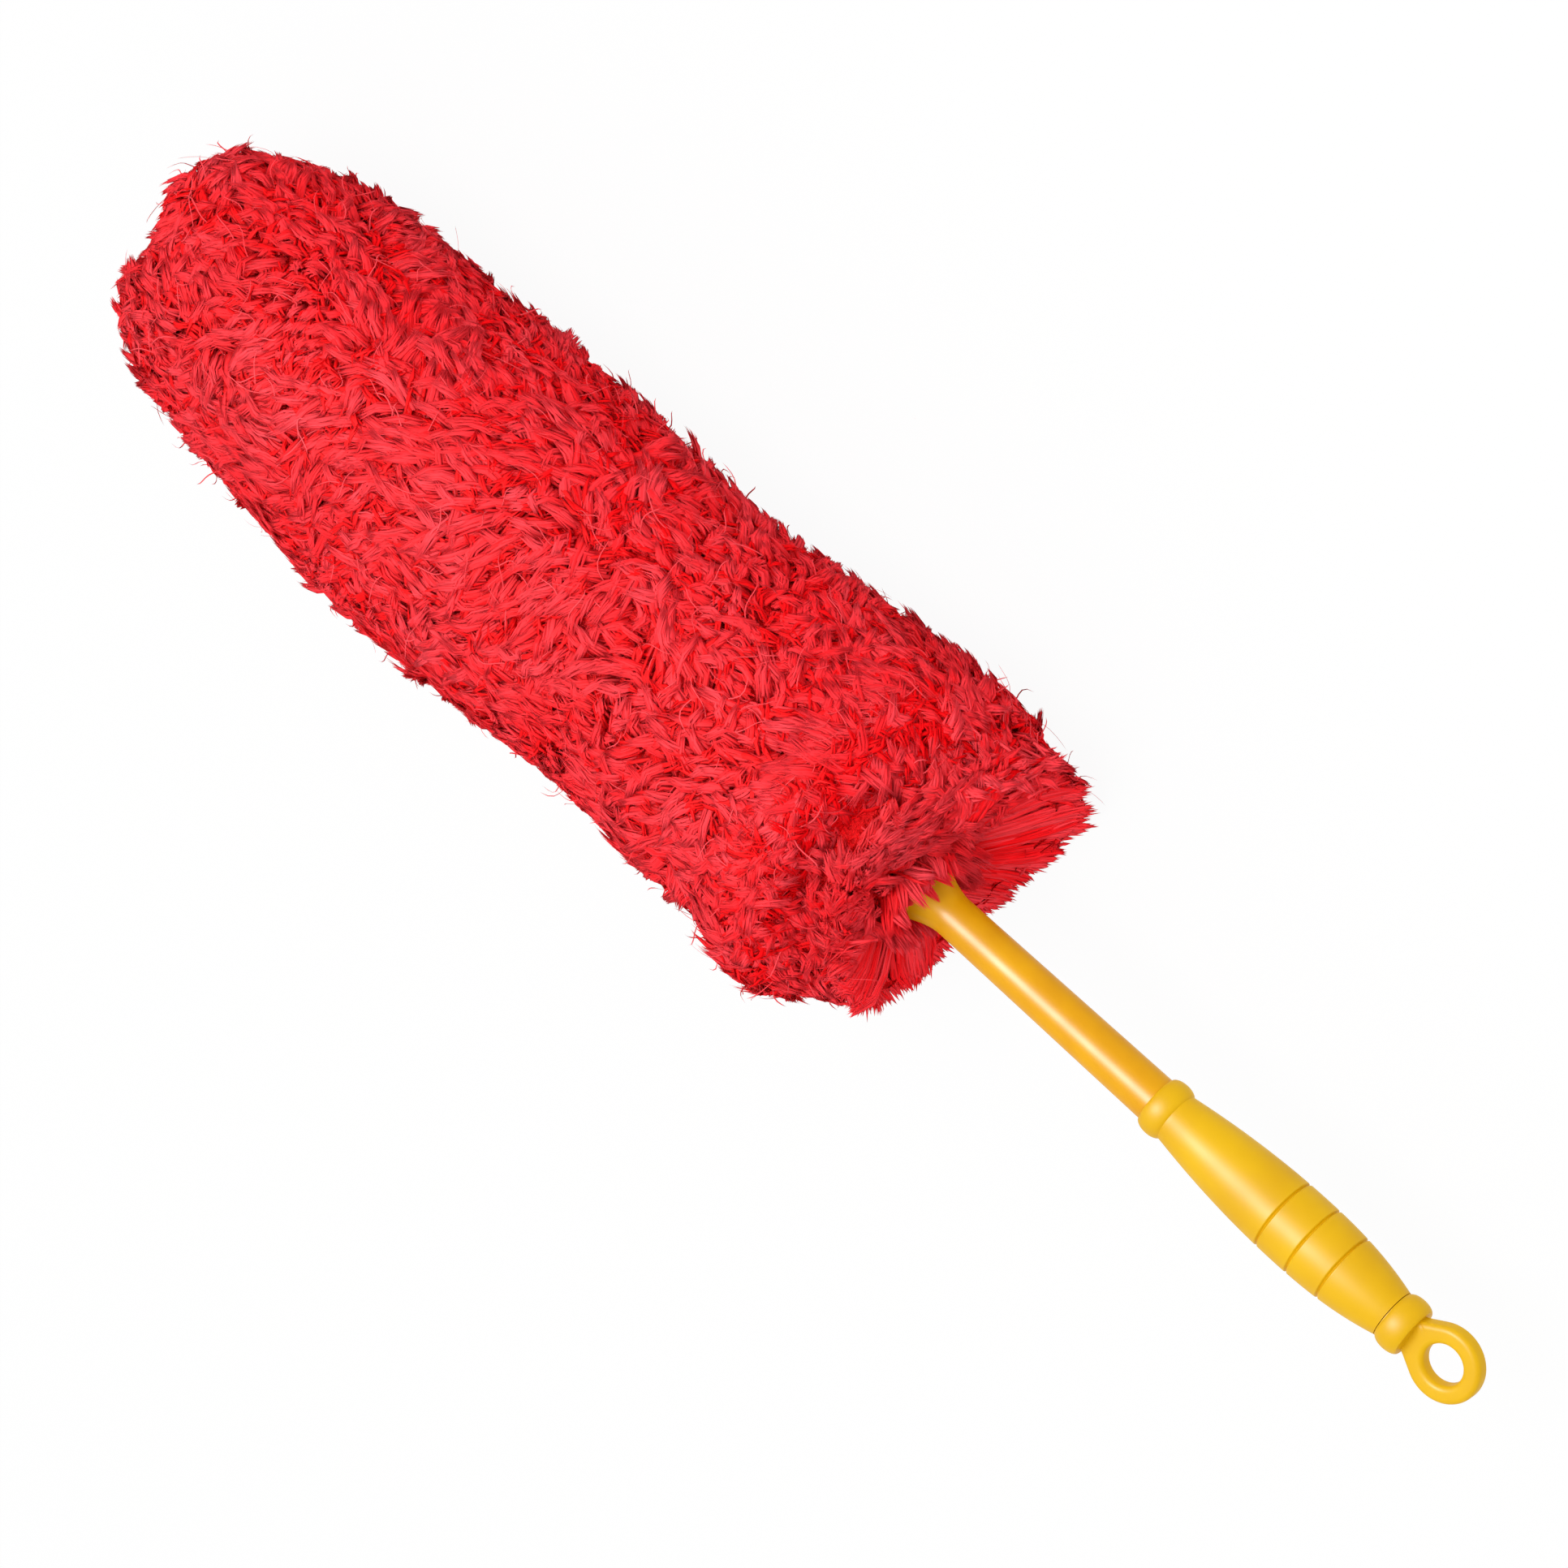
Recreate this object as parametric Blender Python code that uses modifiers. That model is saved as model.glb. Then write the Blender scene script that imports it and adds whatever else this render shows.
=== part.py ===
"""A microfibre duster lying on its head: pile on a twisted wire, a flared shaft, a grip and a hanging eye.

Turned pieces are drawn round the local Z axis of the empty duster_axis, which lays it along world +X, from
the hanging eye to the head's tip. The floor is z = 0, and the origin lies on it under the duster's middle.
Sizes are in metres. Radii come from the diameters, and places along the axis are summed from the lengths.
"""

import math
import random

import bmesh
import bpy
from mathutils import Vector

# Hanging eye, one moulding with the end plug
EYE_DIAMETER = 0.0287
EYE_RING_WIDTH = 0.0067
EYE_THICKNESS = 0.0068
EYE_EDGE_RADIUS = 0.0021
EYE_TO_PLUG = 0.0003
EYE_WEB_WIDTH = 0.0148

# End plug
REAR_BEAD_HEIGHT = 0.00215
REAR_BEAD_WIDTH = 0.0099
SPIGOT_LENGTH = 0.0150
SPIGOT_CHAMFER = 0.0010

# Grip sleeve
GRIP_LENGTH = 0.1003
GRIP_DIAMETER = 0.0281
GRIP_END_HEIGHT = 0.00065
GRIP_FULLEST_SHARE = 0.43
GRIP_FULLNESS_SHARES = (2.4, 1.95)
GROOVES = 3
GROOVE_START = 0.0229
GROOVE_SPACING = 0.01375
GROOVE_WIDTH = 0.0011
GROOVE_DEPTH = 0.0008
FRONT_BEAD_HEIGHT = 0.0022
FRONT_BEAD_WIDTH = 0.0096
BEAD_LIP = 0.0006

# Shaft tube; the beads and the grip's ends stand their heights above its diameter
SHAFT_DIAMETER = 0.0173
SHAFT_SHOWN_LENGTH = 0.1109
NECK_TAPER = 0.0016
FLARE_LENGTH = 0.0140
FLARE_CURVE_SHARE = 1.6
MOUTH_DIAMETER = 0.0252
MOUTH_WALL = 0.0024
SHAFT_WALL = 0.0016
SHAFT_STEP = 0.0010
SHAFT_STEP_DEPTH = 0.0040

# Core wire, folded double and twisted
WIRE_DIAMETER = 0.0022
WIRE_LEG_GAP = 0.0006
FOLD_OVERHANG = 0.0045

# Fittings on the wire
NECK_BUSH_LENGTH = 0.0180
ANCHOR_SPACING = 0.0130
ANCHOR_LENGTH = 0.0240
ANCHOR_FLOOR = 0.0040
ANCHOR_CHAMFER = 0.0010
TIP_CAP_WALL = 0.0018
TIP_CAP_CROWN = 0.0040

# Pile: slices along the wire, each with one ring of tufts
PILE_SLICES = 17
TUFTS = 20
PILE_CORE_LENGTH = 0.3370
ROOT_DIAMETER = 0.0150
SKIRT_DIAMETER = 0.1420
SHOULDER_DIAMETER = 0.1310
WAIST_DIAMETER = 0.1210
BELLY_DIAMETER = 0.1300
HEAD_END_DIAMETER = 0.1210
SKIRT_FOLD = 0.0225
TIP_REACH = 0.0510
SWEEP = 0.0035
PRESSED_DEPTH = 0.0105
FLOOR_CUT = 0.0005

# Clearances
SEAM_GAP = 0.0003
PILE_MOUTH_GAP = 0.0012
CUT_OVERRUN = 0.0200

# Shares of the head's length where its diameters are given, and of each tuft's cell
DIAMETER_SHARES = (0.0, 0.09, 0.19, 0.38, 0.62, 0.83)
FOLD_SHARE = 0.22
TIP_START_SHARE = 0.80
TIP_ROUND_SHARE = 0.62
LEVEL_SHARES = (0.45, 0.84)
CELL_SHARES = (0.84, 0.80)
TIP_DRIFT_SHARE = 0.30
SHORTEST_TUFT_SHARE = 0.93
SWIRL_SHARE = 0.45
SWIRL_TURNS_SHARE = 2.6
BEND_SHARES = (0.12, 0.50, 0.12)

# Facets
TURN_STEPS = 28
FIT_STEPS = 20
BEAD_POINTS = 7
GRIP_POINTS = 14
FLARE_POINTS = 6
EYE_POINTS = 22
HOLE_POINTS = 24
EDGE_RESOLUTION = 1
WIRE_STEPS = 8
MERGE = 0.00001
SEED = 7

# Places along the axis, from the rear end of the eye at minus half the overall length
LENGTHS = (EYE_DIAMETER, EYE_TO_PLUG, REAR_BEAD_WIDTH, SEAM_GAP, GRIP_LENGTH, FRONT_BEAD_WIDTH,
           SHAFT_SHOWN_LENGTH, PILE_MOUTH_GAP, PILE_CORE_LENGTH, TIP_REACH)
EYE_CENTRE = EYE_DIAMETER / 2 - sum(LENGTHS) / 2
PLUG_REAR = EYE_CENTRE + EYE_DIAMETER / 2 + EYE_TO_PLUG
PLUG_FRONT = PLUG_REAR + REAR_BEAD_WIDTH
GRIP_REAR = PLUG_FRONT + SEAM_GAP
GRIP_FRONT = GRIP_REAR + GRIP_LENGTH
SLEEVE_FRONT = GRIP_FRONT + FRONT_BEAD_WIDTH
MOUTH = SLEEVE_FRONT + SHAFT_SHOWN_LENGTH
PILE_REAR = MOUTH + PILE_MOUTH_GAP
PILE_FRONT = PILE_REAR + PILE_CORE_LENGTH
HEAD_TIP = PILE_FRONT + TIP_REACH
ANCHOR_FRONT = MOUTH - NECK_BUSH_LENGTH - ANCHOR_SPACING
WIRE_REAR = ANCHOR_FRONT - ANCHOR_LENGTH + ANCHOR_FLOOR + SEAM_GAP
WIRE_FRONT = PILE_FRONT + FOLD_OVERHANG

# The height of the axis, at which the head's own weight presses its widest pile this deep
AXIS_HEIGHT = SKIRT_DIAMETER / 2 - PRESSED_DEPTH

# Radii that several pieces share
SHAFT_RADIUS = SHAFT_DIAMETER / 2
GRIP_END_RADIUS = SHAFT_RADIUS + GRIP_END_HEIGHT
TAIL_RADIUS = SHAFT_RADIUS - SHAFT_STEP
SHAFT_BORE = TAIL_RADIUS - SHAFT_WALL
ROOT_RADIUS = ROOT_DIAMETER / 2
WIRE_RADIUS = WIRE_DIAMETER / 2
HELIX_RADIUS = (WIRE_RADIUS + WIRE_LEG_GAP / 2) / math.cos(math.pi / WIRE_STEPS)
STEM_RADIUS = HELIX_RADIUS + WIRE_RADIUS
BORE_ROUND_WIRE = (STEM_RADIUS + SEAM_GAP) / math.cos(math.pi / FIT_STEPS)
FIT_RADIUS = SHAFT_BORE - SEAM_GAP / math.cos(math.pi / TURN_STEPS)


def clear_scene():
    for obj in list(bpy.data.objects):
        bpy.data.objects.remove(obj)


def new_collection(name):
    made = bpy.data.collections.new(name)
    bpy.context.scene.collection.children.link(made)
    return made


def linear(channel):
    """One sRGB channel from 0 to 1 as a linear value."""
    if channel <= 0.04045:
        return channel / 12.92
    return ((channel + 0.055) / 1.055) ** 2.4


def material(name, hex_colour, roughness, metallic=0.0):
    made = bpy.data.materials.new(name)
    made.use_nodes = True
    shader = made.node_tree.nodes["Principled BSDF"]
    channels = [int(hex_colour[i:i + 2], 16) / 255 for i in (1, 3, 5)]
    shader.inputs["Base Color"].default_value = [linear(c) for c in channels] + [1.0]
    shader.inputs["Roughness"].default_value = roughness
    shader.inputs["Metallic"].default_value = metallic
    return made


def placed(name, data, finish):
    """An object on the duster's axis for a mesh or a curve."""
    obj = bpy.data.objects.new(name, data)
    data.materials.append(finish)
    duster.objects.link(obj)
    obj.parent = duster_axis
    return obj


def turned(name, profile, steps, finish):
    """Turns (radius, along) points, which run down the outer side and then up any bore."""
    edges = [(i, i + 1) for i in range(len(profile) - 1)]
    if profile[0][0] > 0:
        edges.append((len(profile) - 1, 0))
    mesh = bpy.data.meshes.new(name)
    mesh.from_pydata([(radius, 0.0, along) for radius, along in profile], edges, [])
    obj = placed(name, mesh, finish)
    screw = obj.modifiers.new("turn", "SCREW")
    screw.steps = steps
    screw.render_steps = steps
    screw.use_merge_vertices = True
    screw.merge_threshold = MERGE
    return obj


def bead(centre, width, height, front_height, rear_height):
    """A half ellipse over the shaft's radius, front to rear, cut off below the two end heights."""
    first = math.asin(front_height / height)
    last = math.pi - math.asin(rear_height / height)
    points = []
    for i in range(BEAD_POINTS + 1):
        angle = first + (last - first) * i / BEAD_POINTS
        points.append((SHAFT_RADIUS + height * math.sin(angle), centre + width / 2 * math.cos(angle)))
    return points


def grip_radius(along):
    """Full in the middle and slimmer at both ends, each end with its own fullness."""
    share = (along - GRIP_REAR) / GRIP_LENGTH
    if share < GRIP_FULLEST_SHARE:
        from_end, fullness = share / GRIP_FULLEST_SHARE, GRIP_FULLNESS_SHARES[0]
    else:
        from_end, fullness = (1 - share) / (1 - GRIP_FULLEST_SHARE), GRIP_FULLNESS_SHARES[1]
    rise = 1 - (1 - from_end) ** fullness
    return GRIP_END_RADIUS + (GRIP_DIAMETER / 2 - GRIP_END_RADIUS) * rise


def grip_outline():
    """The grip's outer side from its front to its rear, with a V for each turned groove."""
    grooves = [GRIP_REAR + GROOVE_START + GROOVE_SPACING * i for i in range(GROOVES)]
    half = GROOVE_WIDTH / 2
    points = [(grip_radius(g) - GROOVE_DEPTH, g) for g in grooves]
    points += [(grip_radius(g + side * half), g + side * half) for g in grooves for side in (-1, 1)]
    for i in range(GRIP_POINTS + 1):
        along = GRIP_REAR + GRIP_LENGTH * i / GRIP_POINTS
        if all(abs(along - g) > GROOVE_WIDTH for g in grooves):
            points.append((grip_radius(along), along))
    return sorted(points, key=lambda point: -point[1])


def shaft_radius(along):
    """A slight taper from the grip to the neck, then the flare to the mouth."""
    flare_start = MOUTH - FLARE_LENGTH
    neck_radius = SHAFT_RADIUS - NECK_TAPER / 2
    if along <= flare_start:
        return SHAFT_RADIUS - NECK_TAPER / 2 * (along - SLEEVE_FRONT) / (flare_start - SLEEVE_FRONT)
    share = ((along - flare_start) / FLARE_LENGTH) ** FLARE_CURVE_SHARE
    return neck_radius + (MOUTH_DIAMETER / 2 - neck_radius) * share


def bore_radius(along):
    """Straight up to the neck, then as far inside the flare as the mouth's wall."""
    return max(SHAFT_BORE, shaft_radius(along) - MOUTH_WALL)


def flare_places():
    return [MOUTH - FLARE_LENGTH * i / FLARE_POINTS for i in range(FLARE_POINTS + 1)]


def make_shaft_tube(finish):
    step = SLEEVE_FRONT - SHAFT_STEP_DEPTH
    outer = [(shaft_radius(along), along) for along in flare_places()]
    outer += [(SHAFT_RADIUS, SLEEVE_FRONT), (SHAFT_RADIUS, step)]
    tail = [(TAIL_RADIUS, step), (TAIL_RADIUS, GRIP_REAR), (SHAFT_BORE, GRIP_REAR)]
    inner = [(bore_radius(along), along) for along in reversed(flare_places())]
    turned("shaft_tube", outer + tail + inner, TURN_STEPS, finish)


def make_grip_sleeve(finish):
    """The grip and its front bead, bored for the shaft's tail and, at the front, for the full shaft."""
    step = SLEEVE_FRONT - SHAFT_STEP_DEPTH - SEAM_GAP
    seat = SHAFT_RADIUS + SEAM_GAP
    bore = TAIL_RADIUS + SEAM_GAP
    front_bead = bead((GRIP_FRONT + SLEEVE_FRONT) / 2, FRONT_BEAD_WIDTH, FRONT_BEAD_HEIGHT,
                      SEAM_GAP + BEAD_LIP, GRIP_END_HEIGHT)
    face = front_bead[0][1]
    inner = [(bore, GRIP_REAR), (bore, step), (seat, step), (seat, face)]
    turned("grip_sleeve", front_bead + grip_outline() + inner, TURN_STEPS, finish)


def eye_outline():
    """The ring, the tangents that run from it to the web's width at the plug, and the web inside the plug."""
    radius = EYE_DIAMETER / 2
    half_web = EYE_WEB_WIDTH / 2
    web_length = PLUG_REAR - EYE_CENTRE
    tangent = math.atan2(half_web, web_length) + math.acos(radius / math.hypot(web_length, half_web))
    plug_middle = (PLUG_REAR + PLUG_FRONT) / 2
    points = [(plug_middle, -half_web), (plug_middle, half_web), (PLUG_REAR, half_web)]
    for i in range(EYE_POINTS + 1):
        angle = tangent + (2 * math.pi - 2 * tangent) * i / EYE_POINTS
        points.append((EYE_CENTRE + radius * math.cos(angle), radius * math.sin(angle)))
    return points + [(PLUG_REAR, -half_web)]


def hole_outline():
    """The eye's hole, wound the other way round."""
    radius = EYE_DIAMETER / 2 - EYE_RING_WIDTH
    points = []
    for i in range(HOLE_POINTS):
        angle = -2 * math.pi * i / HOLE_POINTS
        points.append((EYE_CENTRE + radius * math.cos(angle), radius * math.sin(angle)))
    return points


def make_eye_plate(finish):
    """The flat eye as a filled curve with rounded edges, made a mesh so that the plug can be joined to it."""
    curve = bpy.data.curves.new("eye_plate", "CURVE")
    curve.dimensions = "2D"
    curve.fill_mode = "BOTH"
    curve.extrude = EYE_THICKNESS / 2 - EYE_EDGE_RADIUS
    curve.bevel_depth = EYE_EDGE_RADIUS
    curve.bevel_resolution = EDGE_RESOLUTION
    curve.offset = -EYE_EDGE_RADIUS
    for outline in (eye_outline(), hole_outline()):
        spline = curve.splines.new("POLY")
        spline.points.add(len(outline) - 1)
        for point, (x, y) in zip(spline.points, outline):
            point.co = (x, y, 0.0, 1.0)
        spline.use_cyclic_u = True
    flat = bpy.data.objects.new("eye_curve", curve)
    flat.location.z = AXIS_HEIGHT
    cutters.objects.link(flat)
    bpy.context.view_layer.update()
    graph = bpy.context.evaluated_depsgraph_get()
    mesh = bpy.data.meshes.new_from_object(flat.evaluated_get(graph))
    plate = bmesh.new()
    plate.from_mesh(mesh)
    bmesh.ops.remove_doubles(plate, verts=plate.verts, dist=MERGE)
    bmesh.ops.recalc_face_normals(plate, faces=plate.faces)
    plate.to_mesh(mesh)
    plate.free()
    eye = bpy.data.objects.new("eye_plate", mesh)
    mesh.materials.append(finish)
    eye.matrix_world = flat.matrix_world.copy()
    cutters.objects.link(eye)
    bpy.data.objects.remove(flat)
    hide(eye)
    return eye


def hide(helper):
    helper.hide_render = True
    helper.display_type = "WIRE"


def make_end_plug(finish):
    """A spigot in the shaft's bore and the rear bead, with the flat eye joined to them."""
    top = PLUG_FRONT + SPIGOT_LENGTH
    spigot = [(0.0, top), (FIT_RADIUS - SPIGOT_CHAMFER, top), (FIT_RADIUS, top - SPIGOT_CHAMFER),
              (FIT_RADIUS, PLUG_FRONT), (GRIP_END_RADIUS, PLUG_FRONT)]
    rear_bead = bead((PLUG_REAR + PLUG_FRONT) / 2, REAR_BEAD_WIDTH, REAR_BEAD_HEIGHT, GRIP_END_HEIGHT,
                     GRIP_END_HEIGHT)
    rear_face = [(GRIP_END_RADIUS, PLUG_REAR), (0.0, PLUG_REAR)]
    plug = turned("end_plug", spigot + rear_bead + rear_face, TURN_STEPS, finish)
    union = plug.modifiers.new("eye", "BOOLEAN")
    union.operation = "UNION"
    union.object = make_eye_plate(finish)


def make_neck_bush(finish):
    """A bush that fills the flared mouth round the wire."""
    rear = MOUTH - NECK_BUSH_LENGTH
    places = [along for along in flare_places() if along > rear] + [rear]
    outer = [(bore_radius(along) - SEAM_GAP, along) for along in places]
    inner = [(BORE_ROUND_WIRE, rear), (BORE_ROUND_WIRE, MOUTH)]
    turned("neck_bush", outer + inner, TURN_STEPS, finish)


def make_anchor_plug(finish):
    """A plug in the shaft's bore, with a blind hole for the two cut ends of the wire."""
    rear = ANCHOR_FRONT - ANCHOR_LENGTH
    hole_end = rear + ANCHOR_FLOOR
    hole = [(0.0, hole_end), (BORE_ROUND_WIRE, hole_end), (BORE_ROUND_WIRE, ANCHOR_FRONT)]
    outer = [(FIT_RADIUS - ANCHOR_CHAMFER, ANCHOR_FRONT), (FIT_RADIUS, ANCHOR_FRONT - ANCHOR_CHAMFER),
             (FIT_RADIUS, rear + ANCHOR_CHAMFER), (FIT_RADIUS - ANCHOR_CHAMFER, rear), (0.0, rear)]
    turned("anchor_plug", hole + outer, TURN_STEPS, finish)


def make_tip_cap(finish):
    """A domed cap over the fold of the wire."""
    rear = PILE_FRONT + SEAM_GAP
    hole_end = WIRE_FRONT + SEAM_GAP
    radius = BORE_ROUND_WIRE + TIP_CAP_WALL
    shoulder = hole_end + TIP_CAP_CROWN - radius
    dome = []
    for i in range(BEAD_POINTS + 1):
        angle = math.pi / 2 * i / BEAD_POINTS
        dome.append((radius * math.sin(angle), shoulder + radius * math.cos(angle)))
    hole = [(BORE_ROUND_WIRE, rear), (BORE_ROUND_WIRE, hole_end), (0.0, hole_end)]
    turned("tip_cap", dome + [(radius, rear)] + hole, FIT_STEPS, finish)


def wire_points():
    """One leg of the twist from its cut end to the tip, the fold, and the other leg back."""
    end = WIRE_FRONT - STEM_RADIUS
    pitch = 2 * PILE_CORE_LENGTH / PILE_SLICES
    count = math.ceil((end - WIRE_REAR) / pitch * WIRE_STEPS)

    def leg(i, side):
        along = WIRE_REAR + (end - WIRE_REAR) * i / count
        angle = 2 * math.pi * (along - end) / pitch
        return Vector((side * HELIX_RADIUS * math.cos(angle), side * HELIX_RADIUS * math.sin(angle), along))

    out = [leg(i, 1) for i in range(count + 1)]
    fold = []
    for i in range(1, WIRE_STEPS // 2):
        angle = 2 * math.pi * i / WIRE_STEPS
        fold.append(Vector((HELIX_RADIUS * math.cos(angle), 0.0, end + HELIX_RADIUS * math.sin(angle))))
    back = [leg(i, -1) for i in range(count, -1, -1)]
    return out + fold + back


def make_core_wire(finish):
    curve = bpy.data.curves.new("core_wire", "CURVE")
    curve.dimensions = "3D"
    curve.bevel_depth = WIRE_RADIUS
    curve.bevel_resolution = EDGE_RESOLUTION
    curve.use_fill_caps = True
    points = wire_points()
    spline = curve.splines.new("POLY")
    spline.points.add(len(points) - 1)
    for point, co in zip(spline.points, points):
        point.co = (*co, 1.0)
    placed("core_wire", curve, finish)


def head_radius(share):
    """The head's radius along the wire, eased between its named diameters."""
    diameters = (SHOULDER_DIAMETER, SKIRT_DIAMETER, SHOULDER_DIAMETER, WAIST_DIAMETER, BELLY_DIAMETER,
                 HEAD_END_DIAMETER)
    for i in range(len(DIAMETER_SHARES) - 1):
        low, high = DIAMETER_SHARES[i], DIAMETER_SHARES[i + 1]
        if share <= high:
            ease = (1 - math.cos(math.pi * (share - low) / (high - low))) / 2
            return (diameters[i] + (diameters[i + 1] - diameters[i]) * ease) / 2
    return diameters[-1] / 2


def outline_point(share):
    """(radius, along) where the pile that is clamped at this share of the wire ends."""
    along = PILE_REAR + PILE_CORE_LENGTH * share
    radius = head_radius(share)
    if share < FOLD_SHARE:
        along -= SKIRT_FOLD * (1 - share / FOLD_SHARE) ** 2
    if share > TIP_START_SHARE:
        start = PILE_REAR + PILE_CORE_LENGTH * TIP_START_SHARE
        turn = math.pi / 2 * (share - TIP_START_SHARE) / (1 - TIP_START_SHARE)
        along = start + (HEAD_TIP - start) * math.sin(turn)
        radius *= math.cos(turn) ** TIP_ROUND_SHARE
    return radius, along


def pile_point(share, out, angle):
    """A point of the pile: its share along the wire and of the way out, and its angle from straight down.

    The strands leave the wire nearly square to it and bend towards the outline's point, along a curve of
    three control points. One swirl and one sweep, the same for every tuft, keep neighbours from crossing.
    """
    root = PILE_REAR + PILE_CORE_LENGTH * share
    end_radius, end = outline_point(share)
    lean, across, bulge = BEND_SHARES
    knee = root + (end - root) * (lean if end < root else across / 2)
    knee_radius = ROOT_RADIUS + (end_radius - ROOT_RADIUS) * across + abs(end - root) * bulge
    weights = ((1 - out) ** 2, 2 * out * (1 - out), out ** 2)
    along = weights[0] * root + weights[1] * knee + weights[2] * end
    radius = weights[0] * ROOT_RADIUS + weights[1] * knee_radius + weights[2] * end_radius
    turn = 2 * math.pi * share * SWIRL_TURNS_SHARE
    angle += math.pi / TUFTS * SWIRL_SHARE * math.sin(turn) * out
    along += SWEEP * math.sin(turn + 2 * angle) * out * out * math.sin(math.pi * share)
    return radius, along, angle


def as_local(radius, along, angle):
    """Round the axis empty, local +X is straight down."""
    return Vector((radius * math.cos(angle), radius * math.sin(angle), along))


def tuft(mesh, face, slice_index, chance):
    """Draws one tuft out of its face of the backing: two widening lengths, then a point."""
    middle = (slice_index + 0.5) / PILE_SLICES
    face_middle = face.calc_center_median()
    centre = angle_of(face_middle)
    corners = []
    for vert in face.verts:
        across = math.sin(angle_of(vert.co) - centre)
        corners.append((math.copysign(1, vert.co.z - face_middle.z), math.copysign(1, across)))
    drift = [TIP_DRIFT_SHARE * (2 * chance.random() - 1) for _ in range(2)]
    reach = 1 - (1 - SHORTEST_TUFT_SHARE) * chance.random()
    tip_share = min(1.0, max(0.0, middle + drift[0] / PILE_SLICES))
    tip = pile_point(tip_share, reach, centre + drift[1] * math.pi / TUFTS)
    press = pressed_share(tip)
    for level, cell in zip(LEVEL_SHARES, CELL_SHARES):
        face = bmesh.ops.extrude_discrete_faces(mesh, faces=[face])["faces"][0]
        for vert, (lengthways, across) in zip(face.verts, corners):
            share = middle + lengthways * cell / 2 / PILE_SLICES
            point = pile_point(share, level * reach, centre + across * cell * math.pi / TUFTS)
            vert.co = as_local(shortened(point[0], press), *point[1:])
    point = bmesh.ops.poke(mesh, faces=[face])["verts"][0]
    point.co = as_local(shortened(tip[0], press), *tip[1:])


def pressed_share(tip):
    """How much of its length a tuft keeps under the head, where its tip is pressed against the floor."""
    radius, _, angle = tip
    down = math.cos(angle)
    if down <= 0:
        return 1.0
    return min(1.0, ((AXIS_HEIGHT + FLOOR_CUT) / down - ROOT_RADIUS) / (radius - ROOT_RADIUS))


def shortened(radius, share):
    return ROOT_RADIUS + (radius - ROOT_RADIUS) * share


def make_pile_slice(index, finish, floor):
    """A slice of backing round the twisted wire, with a ring of tufts drawn out of its outer faces.

    Every other slice is turned half a tuft, so that tufts stand between their neighbours.
    """
    chance = random.Random(SEED + index)
    pitch = PILE_CORE_LENGTH / PILE_SLICES
    middle = PILE_REAR + pitch * (index + 0.5)
    half = (pitch - SEAM_GAP) / 2
    stagger = math.pi / TUFTS * (index % 2)
    corners = ((ROOT_RADIUS, -half), (ROOT_RADIUS, half), (BORE_ROUND_WIRE, half), (BORE_ROUND_WIRE, -half))
    mesh = bmesh.new()
    section = [mesh.verts.new(as_local(radius, middle + along, stagger)) for radius, along in corners]
    sides = [mesh.edges.new((section[i - 1], section[i])) for i in range(len(section))]
    bmesh.ops.spin(mesh, geom=section + sides, axis=(0.0, 0.0, 1.0), angle=2 * math.pi, steps=TUFTS,
                   use_merge=True)
    bmesh.ops.recalc_face_normals(mesh, faces=mesh.faces)
    outer_faces = [face for face in mesh.faces if all(is_outer(vert) for vert in face.verts)]
    for face in outer_faces:
        tuft(mesh, face, index, chance)
    lowest = max(vert.co.x for vert in mesh.verts)
    data = bpy.data.meshes.new(f"pile_slice_{index + 1:02d}")
    mesh.to_mesh(data)
    mesh.free()
    pile = placed(data.name, data, finish)
    if lowest > AXIS_HEIGHT:
        cut = pile.modifiers.new("floor", "BOOLEAN")
        cut.operation = "DIFFERENCE"
        cut.object = floor


def is_outer(vert):
    return math.hypot(vert.co.x, vert.co.y) > (ROOT_RADIUS + BORE_ROUND_WIRE) / 2


def angle_of(point):
    return math.atan2(point.y, point.x)


def make_floor_cutter():
    """The space under the floor, as long and as wide as the head."""
    box = bmesh.new()
    bmesh.ops.create_cube(box, size=1.0)
    size = Vector((HEAD_TIP - EYE_CENTRE, SKIRT_DIAMETER, CUT_OVERRUN))
    bmesh.ops.scale(box, vec=size + Vector((CUT_OVERRUN, CUT_OVERRUN, 0.0)), verts=box.verts)
    bmesh.ops.translate(box, vec=(0.0, 0.0, -CUT_OVERRUN / 2), verts=box.verts)
    mesh = bpy.data.meshes.new("floor_cutter")
    box.to_mesh(mesh)
    box.free()
    floor = bpy.data.objects.new("floor_cutter", mesh)
    cutters.objects.link(floor)
    hide(floor)
    return floor


clear_scene()
duster = new_collection("microfibre_duster")
cutters = new_collection("cutters")
duster_axis = bpy.data.objects.new("duster_axis", None)
duster_axis.rotation_euler = (0.0, math.pi / 2, 0.0)
duster_axis.location = (0.0, 0.0, AXIS_HEIGHT)
duster.objects.link(duster_axis)

glossy_plastic = material("glossy_orange_yellow_plastic", "#F2A400", 0.22)
satin_plastic = material("satin_yellow_plastic", "#EDB91E", 0.45)
inner_plastic = material("natural_nylon", "#E8E2D2", 0.50)
steel = material("galvanised_steel", "#B9BCBE", 0.35, 1.0)
red_pile = material("red_microfibre_pile", "#E8121E", 0.90)

make_shaft_tube(glossy_plastic)
make_grip_sleeve(satin_plastic)
make_end_plug(satin_plastic)
make_neck_bush(inner_plastic)
make_anchor_plug(inner_plastic)
make_tip_cap(inner_plastic)
make_core_wire(steel)
floor_cutter = make_floor_cutter()
for slice_number in range(PILE_SLICES):
    make_pile_slice(slice_number, red_pile, floor_cutter)
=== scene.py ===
# %% [markdown]
# # A long microfibre duster
#
# The duster lies on a table with its fluffy red head at the left and its yellow handle at the right. The
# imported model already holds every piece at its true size, so this lesson only dresses it: smooth turned
# plastic for the handle, and more than a hundred and fifty thousand strands for the head.

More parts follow.
